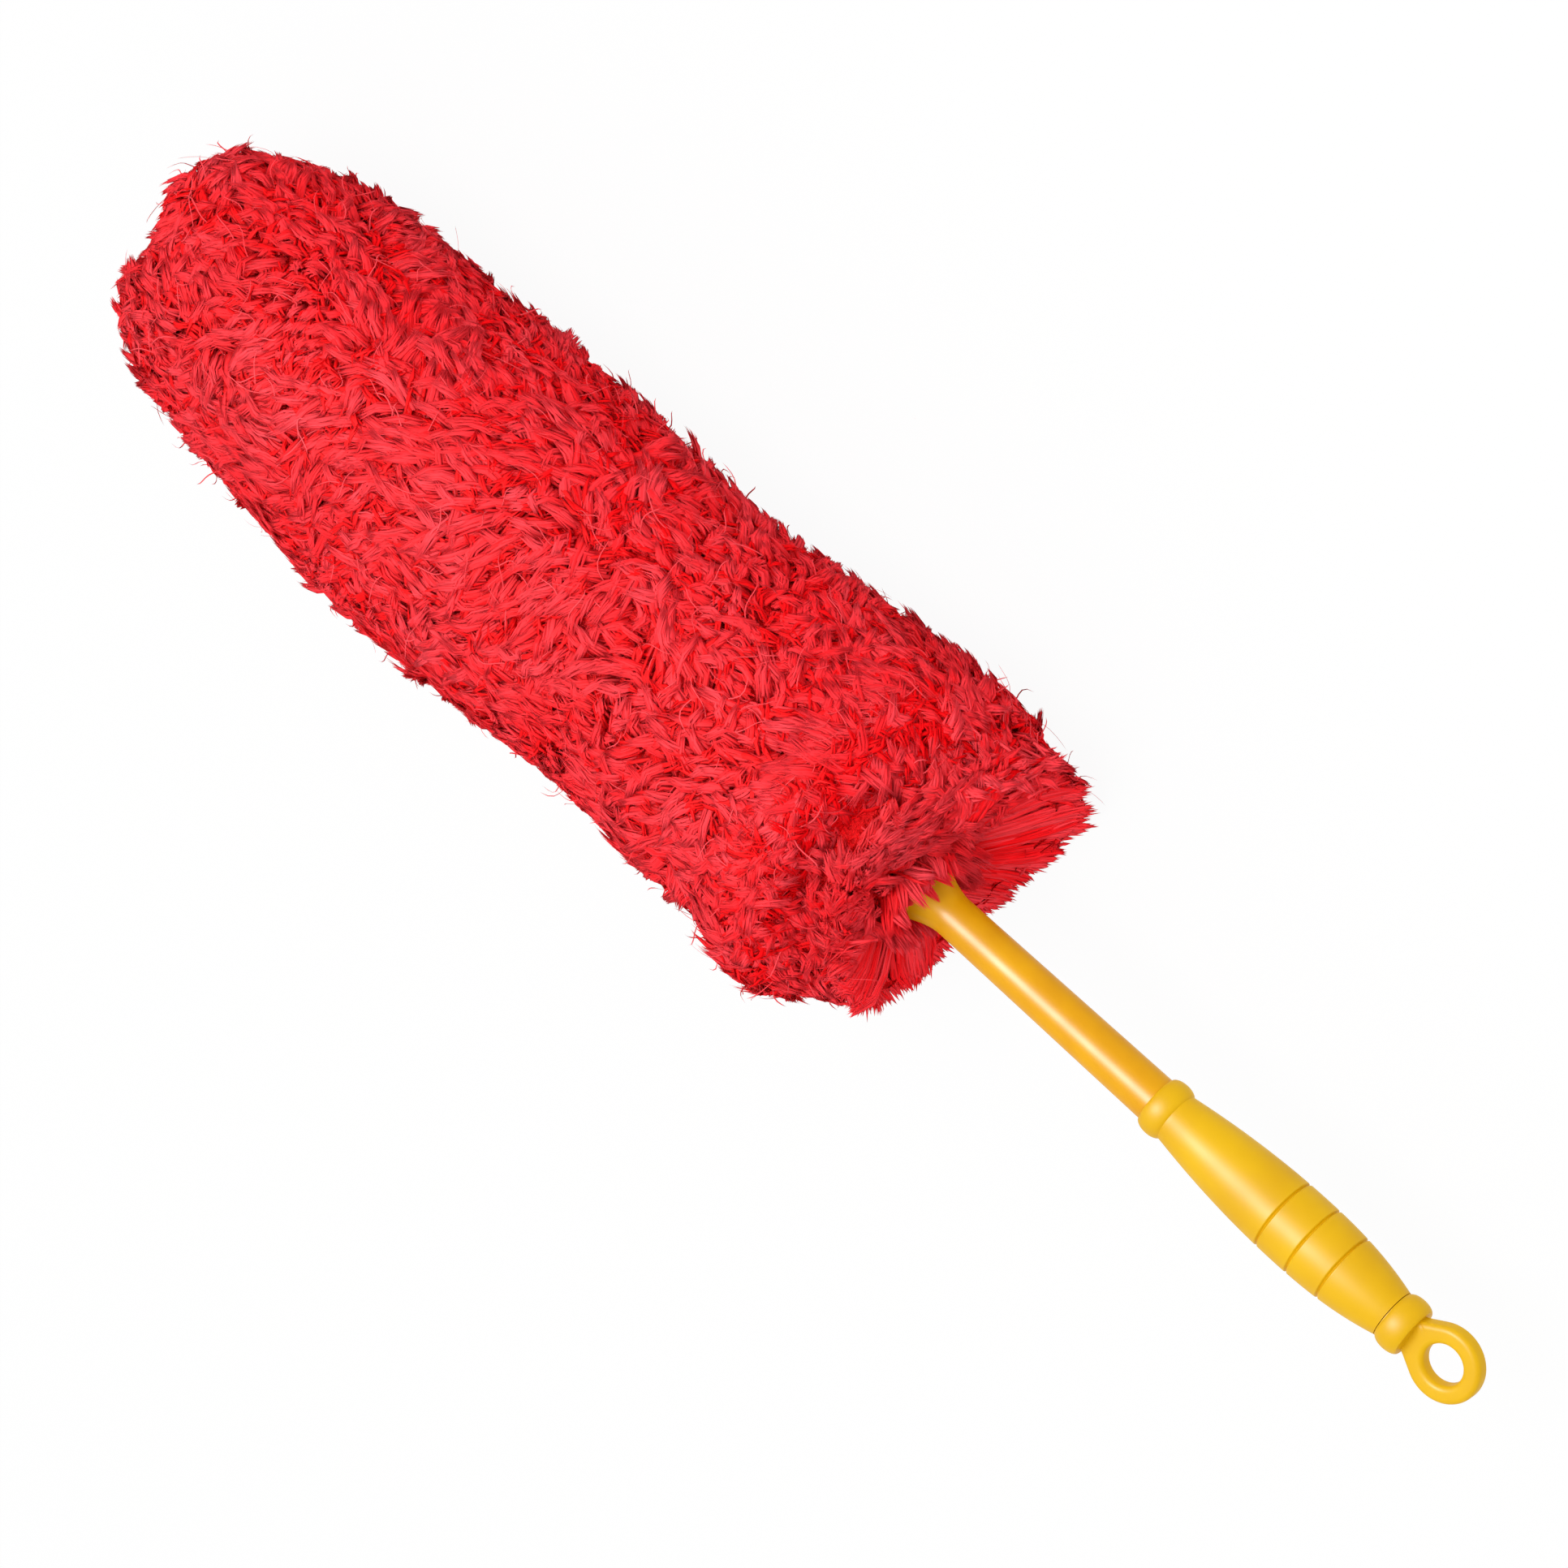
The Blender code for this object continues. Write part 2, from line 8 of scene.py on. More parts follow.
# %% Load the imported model
import math
from types import SimpleNamespace

import bmesh
import bpy
import numpy as np
from mathutils import Matrix, Vector


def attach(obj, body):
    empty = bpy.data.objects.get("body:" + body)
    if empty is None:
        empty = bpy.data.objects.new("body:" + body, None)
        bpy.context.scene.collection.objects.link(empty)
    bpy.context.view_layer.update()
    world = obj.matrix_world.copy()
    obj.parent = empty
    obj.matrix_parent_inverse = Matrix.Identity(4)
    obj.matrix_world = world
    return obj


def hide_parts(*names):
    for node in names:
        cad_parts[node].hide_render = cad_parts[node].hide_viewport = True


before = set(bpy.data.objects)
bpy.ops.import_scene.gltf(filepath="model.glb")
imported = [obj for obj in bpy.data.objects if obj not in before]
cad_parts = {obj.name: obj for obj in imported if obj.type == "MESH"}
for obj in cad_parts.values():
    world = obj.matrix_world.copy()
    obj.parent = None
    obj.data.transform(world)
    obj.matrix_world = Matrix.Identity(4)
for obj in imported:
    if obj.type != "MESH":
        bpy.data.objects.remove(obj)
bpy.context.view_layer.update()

# %% [markdown]
# ## Places along the axis
#
# The duster is built round one straight axis, which lies level above the table. Every station below is a
# place on that axis in metres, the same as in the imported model. Naming them once keeps each turned piece
# and the pile in step with it.

# %% Stations and shared radii
AXIS_HEIGHT = 0.0605
EYE_CENTRE = -0.31025
PLUG_REAR = -0.2956
PLUG_FRONT = -0.2857
GRIP_REAR = -0.2854
GRIP_FRONT = -0.1851
SLEEVE_FRONT = -0.1755
MOUTH = -0.0646
PILE_REAR = -0.0634
PILE_FRONT = 0.2736
HEAD_TIP = 0.3246
SHAFT_RADIUS = 0.00865
NECK_RADIUS = 0.00785
MOUTH_RADIUS = 0.0126
BORE_RADIUS = 0.00605
SEAT_RADIUS = 0.00765
FLARE_LENGTH = 0.014
LIP_RADIUS = 0.0009
GRIP_RADIUS = 0.01405
GRIP_END_RADIUS = 0.0093
SEAM = 0.0003
print("grip:", round(1000 * (GRIP_FRONT - GRIP_REAR), 1), "mm long")

# %% [markdown]
# ## Grids of points as meshes
#
# Each hard piece is a surface over a grid: one direction runs along the piece and the other runs round it.
# Working out the whole grid with numpy is quick and leaves the formula in plain sight. One helper turns a
# grid into a mesh, joins the columns into a ring, and joins the rows too where the section is a closed
# loop.


# %% Grid to mesh
def add_object(name, data):
    """A new object for a mesh, a lamp or a camera, linked to the scene."""
    made = bpy.data.objects.new(name, data)
    bpy.context.scene.collection.objects.link(made)
    return made


def mesh_from_arrays(name, points, faces, finish):
    """A mesh object at the origin from an array of points and an array of faces with equal corner counts."""
    corners = faces.shape[1]
    mesh = bpy.data.meshes.new(name)
    mesh.vertices.add(len(points))
    mesh.vertices.foreach_set("co", points.astype(np.float32).ravel())
    mesh.loops.add(faces.size)
    mesh.loops.foreach_set("vertex_index", faces.astype(np.int32).ravel())
    mesh.polygons.add(len(faces))
    mesh.polygons.foreach_set("loop_start", np.arange(0, faces.size, corners, dtype=np.int32))
    mesh.update(calc_edges=True)
    mesh.shade_smooth()
    mesh.materials.append(finish)
    return add_object(name, mesh)


def grid_faces(rows, columns, loop_rows):
    """Quads between neighbouring rows and columns, with the last column joined to the first."""
    index = np.arange(rows * columns).reshape(rows, columns)
    if loop_rows:
        index = np.vstack([index, index[:1]])
    index = np.hstack([index, index[:, :1]])
    return np.stack([index[:-1, :-1], index[:-1, 1:], index[1:, 1:], index[1:, :-1]], axis=-1).reshape(-1, 4)


def signed_volume(points, faces):
    """Six times the volume inside a closed mesh: the sum of triple products over its triangles."""
    a, b, c, d = (points[faces[:, i]] for i in range(4))
    return np.einsum("ij,ij->", a, np.cross(b, c)) + np.einsum("ij,ij->", a, np.cross(c, d))


def grid_piece(name, grid, finish, loop_rows=False, crease=35):
    """A piece over a grid of points, with outward faces, merged poles and creases sharper than an angle."""
    rows, columns = grid.shape[:2]
    points = grid.reshape(-1, 3)
    faces = grid_faces(rows, columns, loop_rows)
    if signed_volume(points, faces) < 0:
        faces = faces[:, ::-1]
    made = mesh_from_arrays(name, points, faces, finish)
    merge_doubles(made.data)
    made.data.set_sharp_from_angle(angle=math.radians(crease))
    return made


def merge_doubles(mesh):
    """Joins corners that lie together, which closes the poles of a turned piece."""
    work = bmesh.new()
    work.from_mesh(mesh)
    bmesh.ops.remove_doubles(work, verts=work.verts, dist=0.000002)
    work.to_mesh(mesh)
    work.free()


def points_at(x, y, z):
    """Points from three coordinates, each a number or an array, spread to one shape."""
    return np.stack(np.broadcast_arrays(x, y, z), axis=-1)


def round_axis(along, radius, angle):
    """Points at an angle from straight up: y = radius sin, z = axis height + radius cos."""
    return points_at(along, radius * np.sin(angle), AXIS_HEIGHT + radius * np.cos(angle))


def turned(name, profile, finish, loop_rows=False, steps=112):
    """Turns a profile of (radius, along) pairs round the axis."""
    radius, along = np.array(profile).T[..., None]
    angle = 2 * np.pi * np.arange(steps) / steps
    return grid_piece(name, round_axis(along, radius, angle), finish, loop_rows)


print("grid of 3 by 4 makes", len(grid_faces(3, 4, False)), "quads")

# %% [markdown]
# ## Finishes: the node helper
#
# Every finish here is procedural, so it holds at any distance and needs no image. One small function adds a
# node, sets what is written beside it and links what is handed to its sockets. Colours are written as sRGB
# hex values, as a paint shop would give them, and turned to linear once.


# %% Colour and node helpers
def linear(hex_colour):
    """A hex colour as linear red, green, blue and alpha."""
    srgb = np.array([int(hex_colour[i:i + 2], 16) for i in (1, 3, 5)]) / 255
    value = np.where(srgb <= 0.04045, srgb / 12.92, ((srgb + 0.055) / 1.055) ** 2.4)
    return [*value.tolist(), 1.0]


def set_sockets(node, sockets):
    """A socket that is handed another node's output is linked, and any other value is set."""
    for key, value in sockets.items():
        if isinstance(value, bpy.types.NodeSocket):
            node.id_data.links.new(value, node.inputs[key])
        else:
            node.inputs[key].default_value = value


def add_node(tree, kind, sockets=None, **settings):
    """Adds a node, named as Blender names its type after ShaderNode, with its settings and sockets."""
    made = tree.nodes.new("ShaderNode" + kind)
    for name, value in settings.items():
        setattr(made, name, value)
    set_sockets(made, sockets or {})
    return made


def bare_tree(owner):
    """The emptied node tree of a material or a world."""
    owner.use_nodes = True
    owner.node_tree.nodes.clear()
    return owner.node_tree


def new_finish(name):
    """An empty material with its shader and its output linked."""
    made = bpy.data.materials.new(name)
    tree = bare_tree(made)
    shader = add_node(tree, "BsdfPrincipled")
    add_node(tree, "OutputMaterial", {"Surface": shader.outputs["BSDF"]})
    return made, tree, shader


print("signal red in linear:", [round(v, 3) for v in linear("#E8121E")])

# %% [markdown]
# ## Finish: glossy polypropylene
#
# The shaft is an orange-yellow tube, extruded or moulded in polypropylene and left glossy. Such a tube
# shows a long soft highlight, a faint waviness from the mould at about ten millimetres, and colour that is
# a little uneven where the pigment flowed. Index 1.49 is typical for it.


# %% Shaft plastic
def mottled_plastic(name, light, deep, roughness, wave_mm, grain_mm, grain_depth):
    """Plastic with a slow drift between two colours, a slow roughness drift and a fine moulded grain."""
    made, tree, shader = new_finish(name)
    place = add_node(tree, "TexCoord").outputs["Object"]
    flow = add_node(tree, "TexNoise", {"Vector": place, "Scale": 1000 / wave_mm, "Detail": 2.0})
    drift = add_node(tree, "MapRange", {"Value": flow.outputs["Fac"], "From Min": 0.35, "From Max": 0.65})
    colour = add_node(tree, "Mix", {0: drift.outputs["Result"], 6: linear(light), 7: linear(deep)},
                      data_type="RGBA")
    sheen = add_node(tree, "MapRange", {"Value": flow.outputs["Fac"], "From Min": 0.3, "From Max": 0.7,
                                        "To Min": roughness - 0.03, "To Max": roughness + 0.03})
    grain = add_node(tree, "TexNoise", {"Vector": place, "Scale": 1000 / grain_mm, "Detail": 3.0})
    bump = add_node(tree, "Bump", {"Height": grain.outputs["Fac"], "Strength": 1.0, "Distance": grain_depth})
    set_sockets(shader, {"Base Color": colour.outputs[2], "Roughness": sheen.outputs["Result"],
                         "Normal": bump.outputs["Normal"], "IOR": 1.49, "Specular IOR Level": 0.15})
    return made


glossy_plastic = mottled_plastic("glossy_orange_polypropylene", "#DC9F00", "#D49500", 0.36, 18, 3.0, 0.000004)
print(glossy_plastic.name)

# %% [markdown]
# ## Finish: satin polypropylene
#
# The grip, its beads and the hanging eye are a paler yellow with a satin face, from a mould that was
# lightly blasted. The grain of such a mould is about a third of a millimetre, fine enough to only widen the
# highlight.

# %% Grip plastic
satin_plastic = mottled_plastic("satin_yellow_polypropylene", "#DCAC00", "#D4A200", 0.46, 26, 0.35, 0.000012)
print(satin_plastic.name)

# %% [markdown]
# ## Finishes: the hidden fittings
#
# Inside the tube and the head sit a bush, an anchor plug, a cap and the twisted wire. They are natural
# nylon, which is a warm white and slightly waxy, and galvanised steel wire, which is dull grey with a fine
# spangle.

# %% Nylon and wire
natural_nylon = mottled_plastic("natural_nylon", "#EAE4D4", "#E2DAC6", 0.48, 12, 0.5, 0.00001)
galvanised_steel, steel_tree, steel_shader = new_finish("galvanised_steel_wire")
steel_place = add_node(steel_tree, "TexCoord").outputs["Object"]
spangle = add_node(steel_tree, "TexVoronoi", {"Vector": steel_place, "Scale": 1000 / 1.2})
zinc = add_node(steel_tree, "Mix", {0: spangle.outputs["Distance"], 6: linear("#AEB2B5"),
                                    7: linear("#C6C9CB")}, data_type="RGBA")
dulled = add_node(steel_tree, "MapRange", {"Value": spangle.outputs["Distance"], "To Min": 0.32,
                                           "To Max": 0.5})
set_sockets(steel_shader, {"Base Color": zinc.outputs[2], "Roughness": dulled.outputs["Result"],
                           "Metallic": 1.0})
print(galvanised_steel.name)

# %% [markdown]
# ## Shaft tube
#
# The real shaft is one tube that tapers a little from the grip to the neck and then flares to hold the
# head. It is a straight turning job: the outer line, the mouth's rounded lip and the bore make one closed
# loop, and turning that loop gives walls with thickness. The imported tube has 28 flats, which would show in
# its long highlight, so a smooth one takes its place.


# %% Shaft profile
def shaft_radius(along):
    """Straight taper from 8.65 to 7.85 mm, then a flare that opens as a power of the way to the mouth."""
    flare_start = MOUTH - FLARE_LENGTH
    taper = 0.0008 * (along - SLEEVE_FRONT) / (flare_start - SLEEVE_FRONT)
    opening = np.clip((along - flare_start) / FLARE_LENGTH, 0, 1) ** 1.6
    flared = NECK_RADIUS + (MOUTH_RADIUS - NECK_RADIUS) * opening
    return np.where(along < flare_start, SHAFT_RADIUS - taper, flared)


def arc(centre, radius, start, end, count):
    """Points on a quarter or half circle, with angles in degrees from the outward direction."""
    angle = np.radians(np.linspace(start, end, count))
    return list(zip(centre[0] + radius * np.cos(angle), centre[1] + radius * np.sin(angle)))


flare = np.linspace(MOUTH - FLARE_LENGTH, MOUTH - LIP_RADIUS, 22)
tube = np.linspace(SLEEVE_FRONT - 0.004, MOUTH - 0.0145, 14)
lip = arc((MOUTH_RADIUS - 0.0010, MOUTH - LIP_RADIUS), LIP_RADIUS, 0, 180, 9)
outer = list(zip(shaft_radius(tube), tube)) + list(zip(shaft_radius(flare), flare)) + lip
bore = np.linspace(MOUTH - 0.0012, MOUTH - FLARE_LENGTH, 12)
inner = list(zip(np.maximum(BORE_RADIUS, shaft_radius(bore) - 0.0024), bore))
tail = [(BORE_RADIUS, GRIP_REAR), (SEAT_RADIUS, GRIP_REAR), (SEAT_RADIUS, SLEEVE_FRONT - 0.004)]
shaft = turned("shaft_tube_smooth", outer + inner + tail, glossy_plastic, loop_rows=True)
print(shaft.name, len(shaft.data.vertices), "points")

# %% [markdown]
# ## Beads and grip
#
# The grip is a barrel with one bead in front and three thin turned grooves near its rear, which stop a wet
# hand from slipping. A bead is half an ellipse. The barrel's line rises from each end to its fullest place
# as one minus a power of what is left, so it is full in the middle and has no corner there.


# %% Grip profile
REAR_PART, FRONT_PART = 0.43, 0.57
GROOVE_HALF_WIDTH, GROOVE_DEPTH = 0.0009, 0.001
GROOVES = GRIP_REAR + 0.0229 + 0.01375 * np.arange(3)


def bead(centre, width, height, front_height, rear_height, count=20):
    """Half an ellipse over the shaft's radius, from its front to its rear, cut off at two end heights."""
    angle = np.linspace(math.asin(front_height / height), math.pi - math.asin(rear_height / height), count)
    return list(zip(SHAFT_RADIUS + height * np.sin(angle), centre + width / 2 * np.cos(angle)))


def grip_radius(along):
    """End radius plus a rise of one minus a power of the distance left to the fullest place."""
    share = (along - GRIP_REAR) / (GRIP_FRONT - GRIP_REAR)
    rear_rise = 1 - (1 - np.clip(share / REAR_PART, 0, 1)) ** 2.4
    front_rise = 1 - (1 - np.clip((1 - share) / FRONT_PART, 0, 1)) ** 1.95
    rise = np.where(share < REAR_PART, rear_rise, front_rise)
    return GRIP_END_RADIUS + (GRIP_RADIUS - GRIP_END_RADIUS) * rise


def grooved_radius(along):
    """The barrel's radius less a groove 1.8 mm wide and 1 mm deep: a raised cosine to the power 1.5."""
    away = np.min(np.abs(along[:, None] - GROOVES), axis=1)
    wave = (1 + np.cos(np.pi * away / GROOVE_HALF_WIDTH)) / 2
    return grip_radius(along) - np.where(away < GROOVE_HALF_WIDTH, GROOVE_DEPTH * wave ** 1.5, 0)


close = (GROOVES[:, None] + np.linspace(-0.001, 0.001, 17)).ravel()
coarse = np.linspace(GRIP_REAR, GRIP_FRONT, 70)
coarse = coarse[np.min(np.abs(coarse[:, None] - GROOVES), axis=1) > 0.0013]
barrel = np.sort(np.concatenate([close, coarse]))[::-1]
front_bead = bead((GRIP_FRONT + SLEEVE_FRONT) / 2, 0.0096, 0.0022, SEAM + 0.0006, 0.00065)
sleeve_bore = [(0.00795, GRIP_REAR), (0.00795, SLEEVE_FRONT - 0.0043), (0.00895, SLEEVE_FRONT - 0.0043),
               (0.00895, front_bead[0][1])]
grip_line = list(zip(grooved_radius(barrel), barrel))
grip = turned("grip_sleeve_smooth", front_bead + grip_line + sleeve_bore, satin_plastic, loop_rows=True)
print(grip.name, len(grip.data.vertices), "points")

# %% [markdown]
# ## End plug and hanging eye
#
# The rear bead and the flat eye are one moulding that closes the grip. The bead is turned like the other
# one. The eye is a flat plate with a round hole and rounded edges, whose outline runs as two tangents from
# its ring into the bead. Seen from the hole's centre the outline is met once in every direction, so the
# plate is a grid too: the columns run round the hole, and the rows run from the hole's edge over the top
# and back underneath.


# %% Rear bead and its spigot
rear_bead = bead((PLUG_REAR + PLUG_FRONT) / 2, 0.0099, 0.00215, 0.00065, 0.00065)
spigot_end = PLUG_FRONT + 0.015
spigot = [(0.0, spigot_end), (0.00475, spigot_end), (0.00575, spigot_end - 0.001), (0.00575, PLUG_FRONT),
          (GRIP_END_RADIUS, PLUG_FRONT)]
plug = turned("rear_bead_smooth", spigot + rear_bead + [(0.0, PLUG_REAR)], satin_plastic)
print(plug.name)


# %% Eye plate
def eye_reach(angle):
    """Distance from the hole's centre to the plate's outline, and the cosine of the edge's slant there.

    The outline is the ring's circle, then the tangent from it to the web's corner, then the web's side.
    """
    ring, half_web = 0.01435, 0.0074
    web_start, web_end = PLUG_REAR - EYE_CENTRE, PLUG_REAR - EYE_CENTRE + 0.005
    reach = math.hypot(web_start, half_web)
    touch = math.atan2(half_web, web_start) + math.acos(ring / reach)
    corner = math.atan2(half_web, web_start)
    end_corner = math.atan2(half_web, web_end)
    turn = np.abs((angle + np.pi) % (2 * np.pi) - np.pi)
    tangent = ring / np.cos(turn - touch)
    side = half_web / np.maximum(np.sin(turn), 0.01)
    end = web_end / np.maximum(np.cos(turn), 0.01)
    zones = [turn > touch, turn > corner, turn > end_corner]
    distance = np.select(zones, [np.full_like(turn, ring), tangent, side], end)
    slant = np.select(zones, [np.ones_like(turn), np.cos(turn - touch), np.sin(turn)], np.cos(turn))
    return distance, np.maximum(slant, 0.35)


HOLE_RADIUS = 0.00765
eye_angle = 2 * np.pi * np.arange(168) / 168
outer_reach, slant = eye_reach(eye_angle)
half_thick, edge = 0.0034, 0.0021
quarter = np.radians(np.linspace(0, 90, 8))
inset = np.concatenate([edge * (1 - np.cos(quarter)), edge * (1 - np.cos(quarter[::-1]))])
top = half_thick - edge + edge * np.sin(quarter)
height = np.concatenate([top, -top[::-1]])
hole_rows = HOLE_RADIUS + inset[:, None] * np.ones_like(eye_angle)
rim_rows = outer_reach - inset[:, None] / slant
across = np.concatenate([hole_rows[:8], rim_rows[7::-1], rim_rows[:7:-1], hole_rows[8:]])
level = np.concatenate([height[:8], height[7::-1], height[:7:-1], height[8:]])
eye_grid = points_at(EYE_CENTRE + across * np.cos(eye_angle), across * np.sin(eye_angle),
                     AXIS_HEIGHT + level[:, None])
eye = grid_piece("hanging_eye_smooth", eye_grid, satin_plastic, loop_rows=True)
print(eye.name, "hole", round(2000 * float(hole_rows.min()), 1), "mm")

# %% [markdown]
# ## The pile's shape
#
# The head is microfibre clamped in a twisted wire. Its strands leave the wire nearly square to it and end
# on a soft outline: a skirt that folds back round the neck, a waist, a belly and a blunt tip. The pile
# parts round the neck on the front, which faces 36 degrees from straight up. The functions below work out
# any point of it from three numbers: the share along the wire, the share of the way out, and the angle
# round the axis from straight up. Shares below zero lie on the face round the neck, so that one pair of
# numbers covers the whole skin.

# %% Outline of the head
CORE_LENGTH = PILE_FRONT - PILE_REAR
ROOT_RADIUS = 0.0075
FACE_START = -0.20
SHARES = np.array([0.0, 0.09, 0.19, 0.38, 0.62, 0.83, 1.0])
RADII = np.array([58.5, 70.0, 64.8, 61.2, 64.0, 60.5, 62.5]) / 1000
TIP_START = 0.80
FULL_TIP = HEAD_TIP - 0.0115
FRONT_ANGLE = math.radians(-36)
# The direction in which the outline leans is square to the front one: across, and up.
LEAN_ACROSS, LEAN_UP = 0.809, 0.588
LEAN_AT = np.array([-80, -55, -30, -8, 60, 110, 172, 215, 258, 296, 309, 322]) / 1000
LEAN = np.array([6, 3, 1.5, 3, 0, -1, -4, -2.5, -2, -3, -2, 1]) / 1000


def head_radius(share):
    """The radius along the wire, eased by half a cosine wave between the named radii."""
    index = np.clip(np.searchsorted(SHARES, share, side="right") - 1, 0, len(SHARES) - 2)
    step = (share - SHARES[index]) / (SHARES[index + 1] - SHARES[index])
    ease = (1 - np.cos(np.pi * step)) / 2
    return RADII[index] + (RADII[index + 1] - RADII[index]) * ease


def skirt_fold(round_front):
    """How far the rim folds back over the neck: two waves round the axis, forward where the pile parts."""
    return (7.0 - 12 * np.cos(round_front) + 6.5 * np.sin(round_front) - 8.2 * np.cos(2 * round_front)) / 1000


def outline(share, angle):
    """(along, radius) of the pile's end: the wire's place, folded back at the rim and in at the tip."""
    round_front = FRONT_ANGLE - angle
    along = PILE_REAR + CORE_LENGTH * share - skirt_fold(round_front) * np.clip(1 - share / 0.22, 0, 1) ** 2
    turn = np.pi / 2 * np.clip((share - TIP_START) / (1 - TIP_START), 0, 1)
    start = PILE_REAR + CORE_LENGTH * TIP_START
    along = np.where(share > TIP_START, start + (FULL_TIP - start) * np.sin(turn), along)
    return along, head_radius(share) * np.clip(np.cos(turn), 0, 1) ** 0.64


def pile_point(share, out, angle):
    """A point of the pile: a quadratic curve from wire to outline, bent to a knee and pressed flat below.

    The whole outline leans a few millimetres to one side and the other, growing with the square of the way
    out. The rim is eased where the pile parts, and the tip's end is slanted with a shallow notch on one side.
    A share below 0 lies on the face round the neck: it takes the point inwards, and the way out then counts
    along the axis.
    """
    on_face = np.clip(-share / 0.04, 0, 1)
    rounded = np.clip(np.cos(FRONT_ANGLE - angle) - 0.7 * np.sin(FRONT_ANGLE - angle), 0, 1)
    eased = 0.012 * rounded * np.exp(-(share / 0.04) ** 2)
    inward = 1 - 0.8 * np.clip(share / FACE_START, 0, 1)
    reach = inward * (1 - (1 - out) * (1 - on_face))
    share = np.clip(share, 0, 1)
    root = PILE_REAR + CORE_LENGTH * share
    end, end_radius = outline(share, angle)
    knee = root + (end - root) * np.where(end < root, 0.12, 0.25)
    knee_radius = ROOT_RADIUS + (end_radius - ROOT_RADIUS) * 0.5 + np.abs(end - root) * 0.12
    first, second, third = (1 - reach) ** 2, 2 * reach * (1 - reach), reach ** 2
    along = first * root + second * knee + third * end + 0.06 * (1 - out) * on_face + 0.4 * eased
    radius = first * ROOT_RADIUS + second * knee_radius + third * end_radius - 0.9 * eased
    lean = np.interp(along, LEAN_AT, LEAN) * reach ** 2
    side = radius * np.sin(angle) - lean * LEAN_ACROSS
    height = AXIS_HEIGHT + radius * np.cos(angle) - lean * LEAN_UP
    beside = -LEAN_ACROSS * side - LEAN_UP * (height - AXIS_HEIGHT)
    notch = 0.009 * np.exp(-((beside + 0.016) / 0.013) ** 2)
    slant = 0.25 * np.clip(beside, -0.008, 0.012)
    along = along + np.clip((share - 0.8) / 0.2, 0, 1) * (slant - notch)
    return points_at(along, side, np.maximum(height, 0.0015 + 0.001 * (radius > 0.03)))


def unit(vectors):
    """The same directions with length 1."""
    return vectors / (np.linalg.norm(vectors, axis=-1, keepdims=True) + 1e-12)


def skin_frame(share, angle):
    """Place, and the directions to the tip, round the axis and outwards, from the skin's two slopes."""
    share = np.clip(share, FACE_START + 0.004, 0.998)
    place = pile_point(share, 1.0, angle)
    ahead = pile_point(share + 0.003, 1.0, angle) - pile_point(share - 0.003, 1.0, angle)
    around = pile_point(share, 1.0, angle + 0.02) - pile_point(share, 1.0, angle - 0.02)
    outward = unit(np.cross(ahead, around))
    ahead = unit(ahead)
    return place, ahead, np.cross(outward, ahead), outward


def tufts_at(share, angle, **lie):
    """A group of tufts: the skin's place and directions at each, and how each tuft lies."""
    place, ahead, around, outward = skin_frame(share, angle)
    return SimpleNamespace(place=place, ahead=ahead, around=around, outward=outward, lit=outward, **lie)


print("rim of the skirt:", pile_point(np.array([0.09]), 1.0, np.array([0.0])).round(4))

# %% [markdown]
# ## Even places, calm noise
#
# Tufts stand close together and cover the head evenly. The golden angle spreads places round the axis, and
# equal steps of surface area spread them along it. Where the pile should wander, a sum of a few plane waves
# gives noise that changes slowly and is the same on every run.

# %% Sampling and noise
GOLDEN_ANGLE = 2.399963
chance = np.random.default_rng(7)


def even_places(count):
    """Shares and angles of evenly spread places: equal areas along the skin, the golden angle round it."""
    share = np.linspace(FACE_START, 1, 900)
    points = pile_point(share, 1.0, np.full_like(share, FRONT_ANGLE + math.pi / 2))
    radius = np.linalg.norm(points[:, 1:] - [0, AXIS_HEIGHT], axis=1)
    step = np.linalg.norm(np.diff(points, axis=0), axis=1)
    area = np.concatenate([[0], np.cumsum(step * (radius[1:] + radius[:-1]))])
    order = (np.arange(count) + 0.5) / count
    return np.interp(order * area[-1], area, share), (np.arange(count) * GOLDEN_ANGLE) % (2 * np.pi)


def waves(points, size, seed, count=9):
    """Slow noise between about -1 and 1: a sum of plane waves about one size long, in random directions."""
    pick = np.random.default_rng(seed)
    direction = unit(pick.normal(size=(count, 3)))
    length = size * pick.uniform(0.7, 1.5, count)
    phase = pick.uniform(0, 2 * np.pi, count)
    turns = points @ (2 * np.pi * direction / length[:, None]).T + phase
    return np.sin(turns).sum(axis=1) / math.sqrt(count / 1.6)


print("noise at the origin:", waves(np.zeros((1, 3)), 0.03, 1).round(3))

# %% [markdown]
# ## Strands as blades
#
# A strand is drawn a millimetre or more wide at its root and comes to a point. Drawing each one as a
# flattened three-sided blade along a curve keeps it to a few triangles. All the blades of a piece are
# worked out in one go: the curve's direction at each step, two directions square to it, and three corners
# round it. Real pile has far more and far finer fibres than that, and light passes between them, so a tuft
# is shaded as one soft form. For that each strand carries the direction in which its tuft faces there.


# %% Blades along many curves
SECTION = np.array([[1.0, -0.08], [0.0, 0.3], [-1.0, -0.08]])


def blade_faces(steps):
    """The triangles of one blade: two for each side between rings, a fan to the tip and a closed root."""
    here = np.arange(steps - 2)[:, None] * 3 + np.arange(3)
    there = np.arange(steps - 2)[:, None] * 3 + (np.arange(3) + 1) % 3
    one, other = np.stack([here, there, there + 3], axis=-1), np.stack([here, there + 3, here + 3], axis=-1)
    sides = np.concatenate([one, other])
    tip, last = 3 * (steps - 1), 3 * (steps - 2)
    fan = [[last, last + 1, tip], [last + 1, last + 2, tip], [last + 2, last, tip]]
    return np.concatenate([sides.reshape(-1, 3), fan, [[0, 2, 1]]])


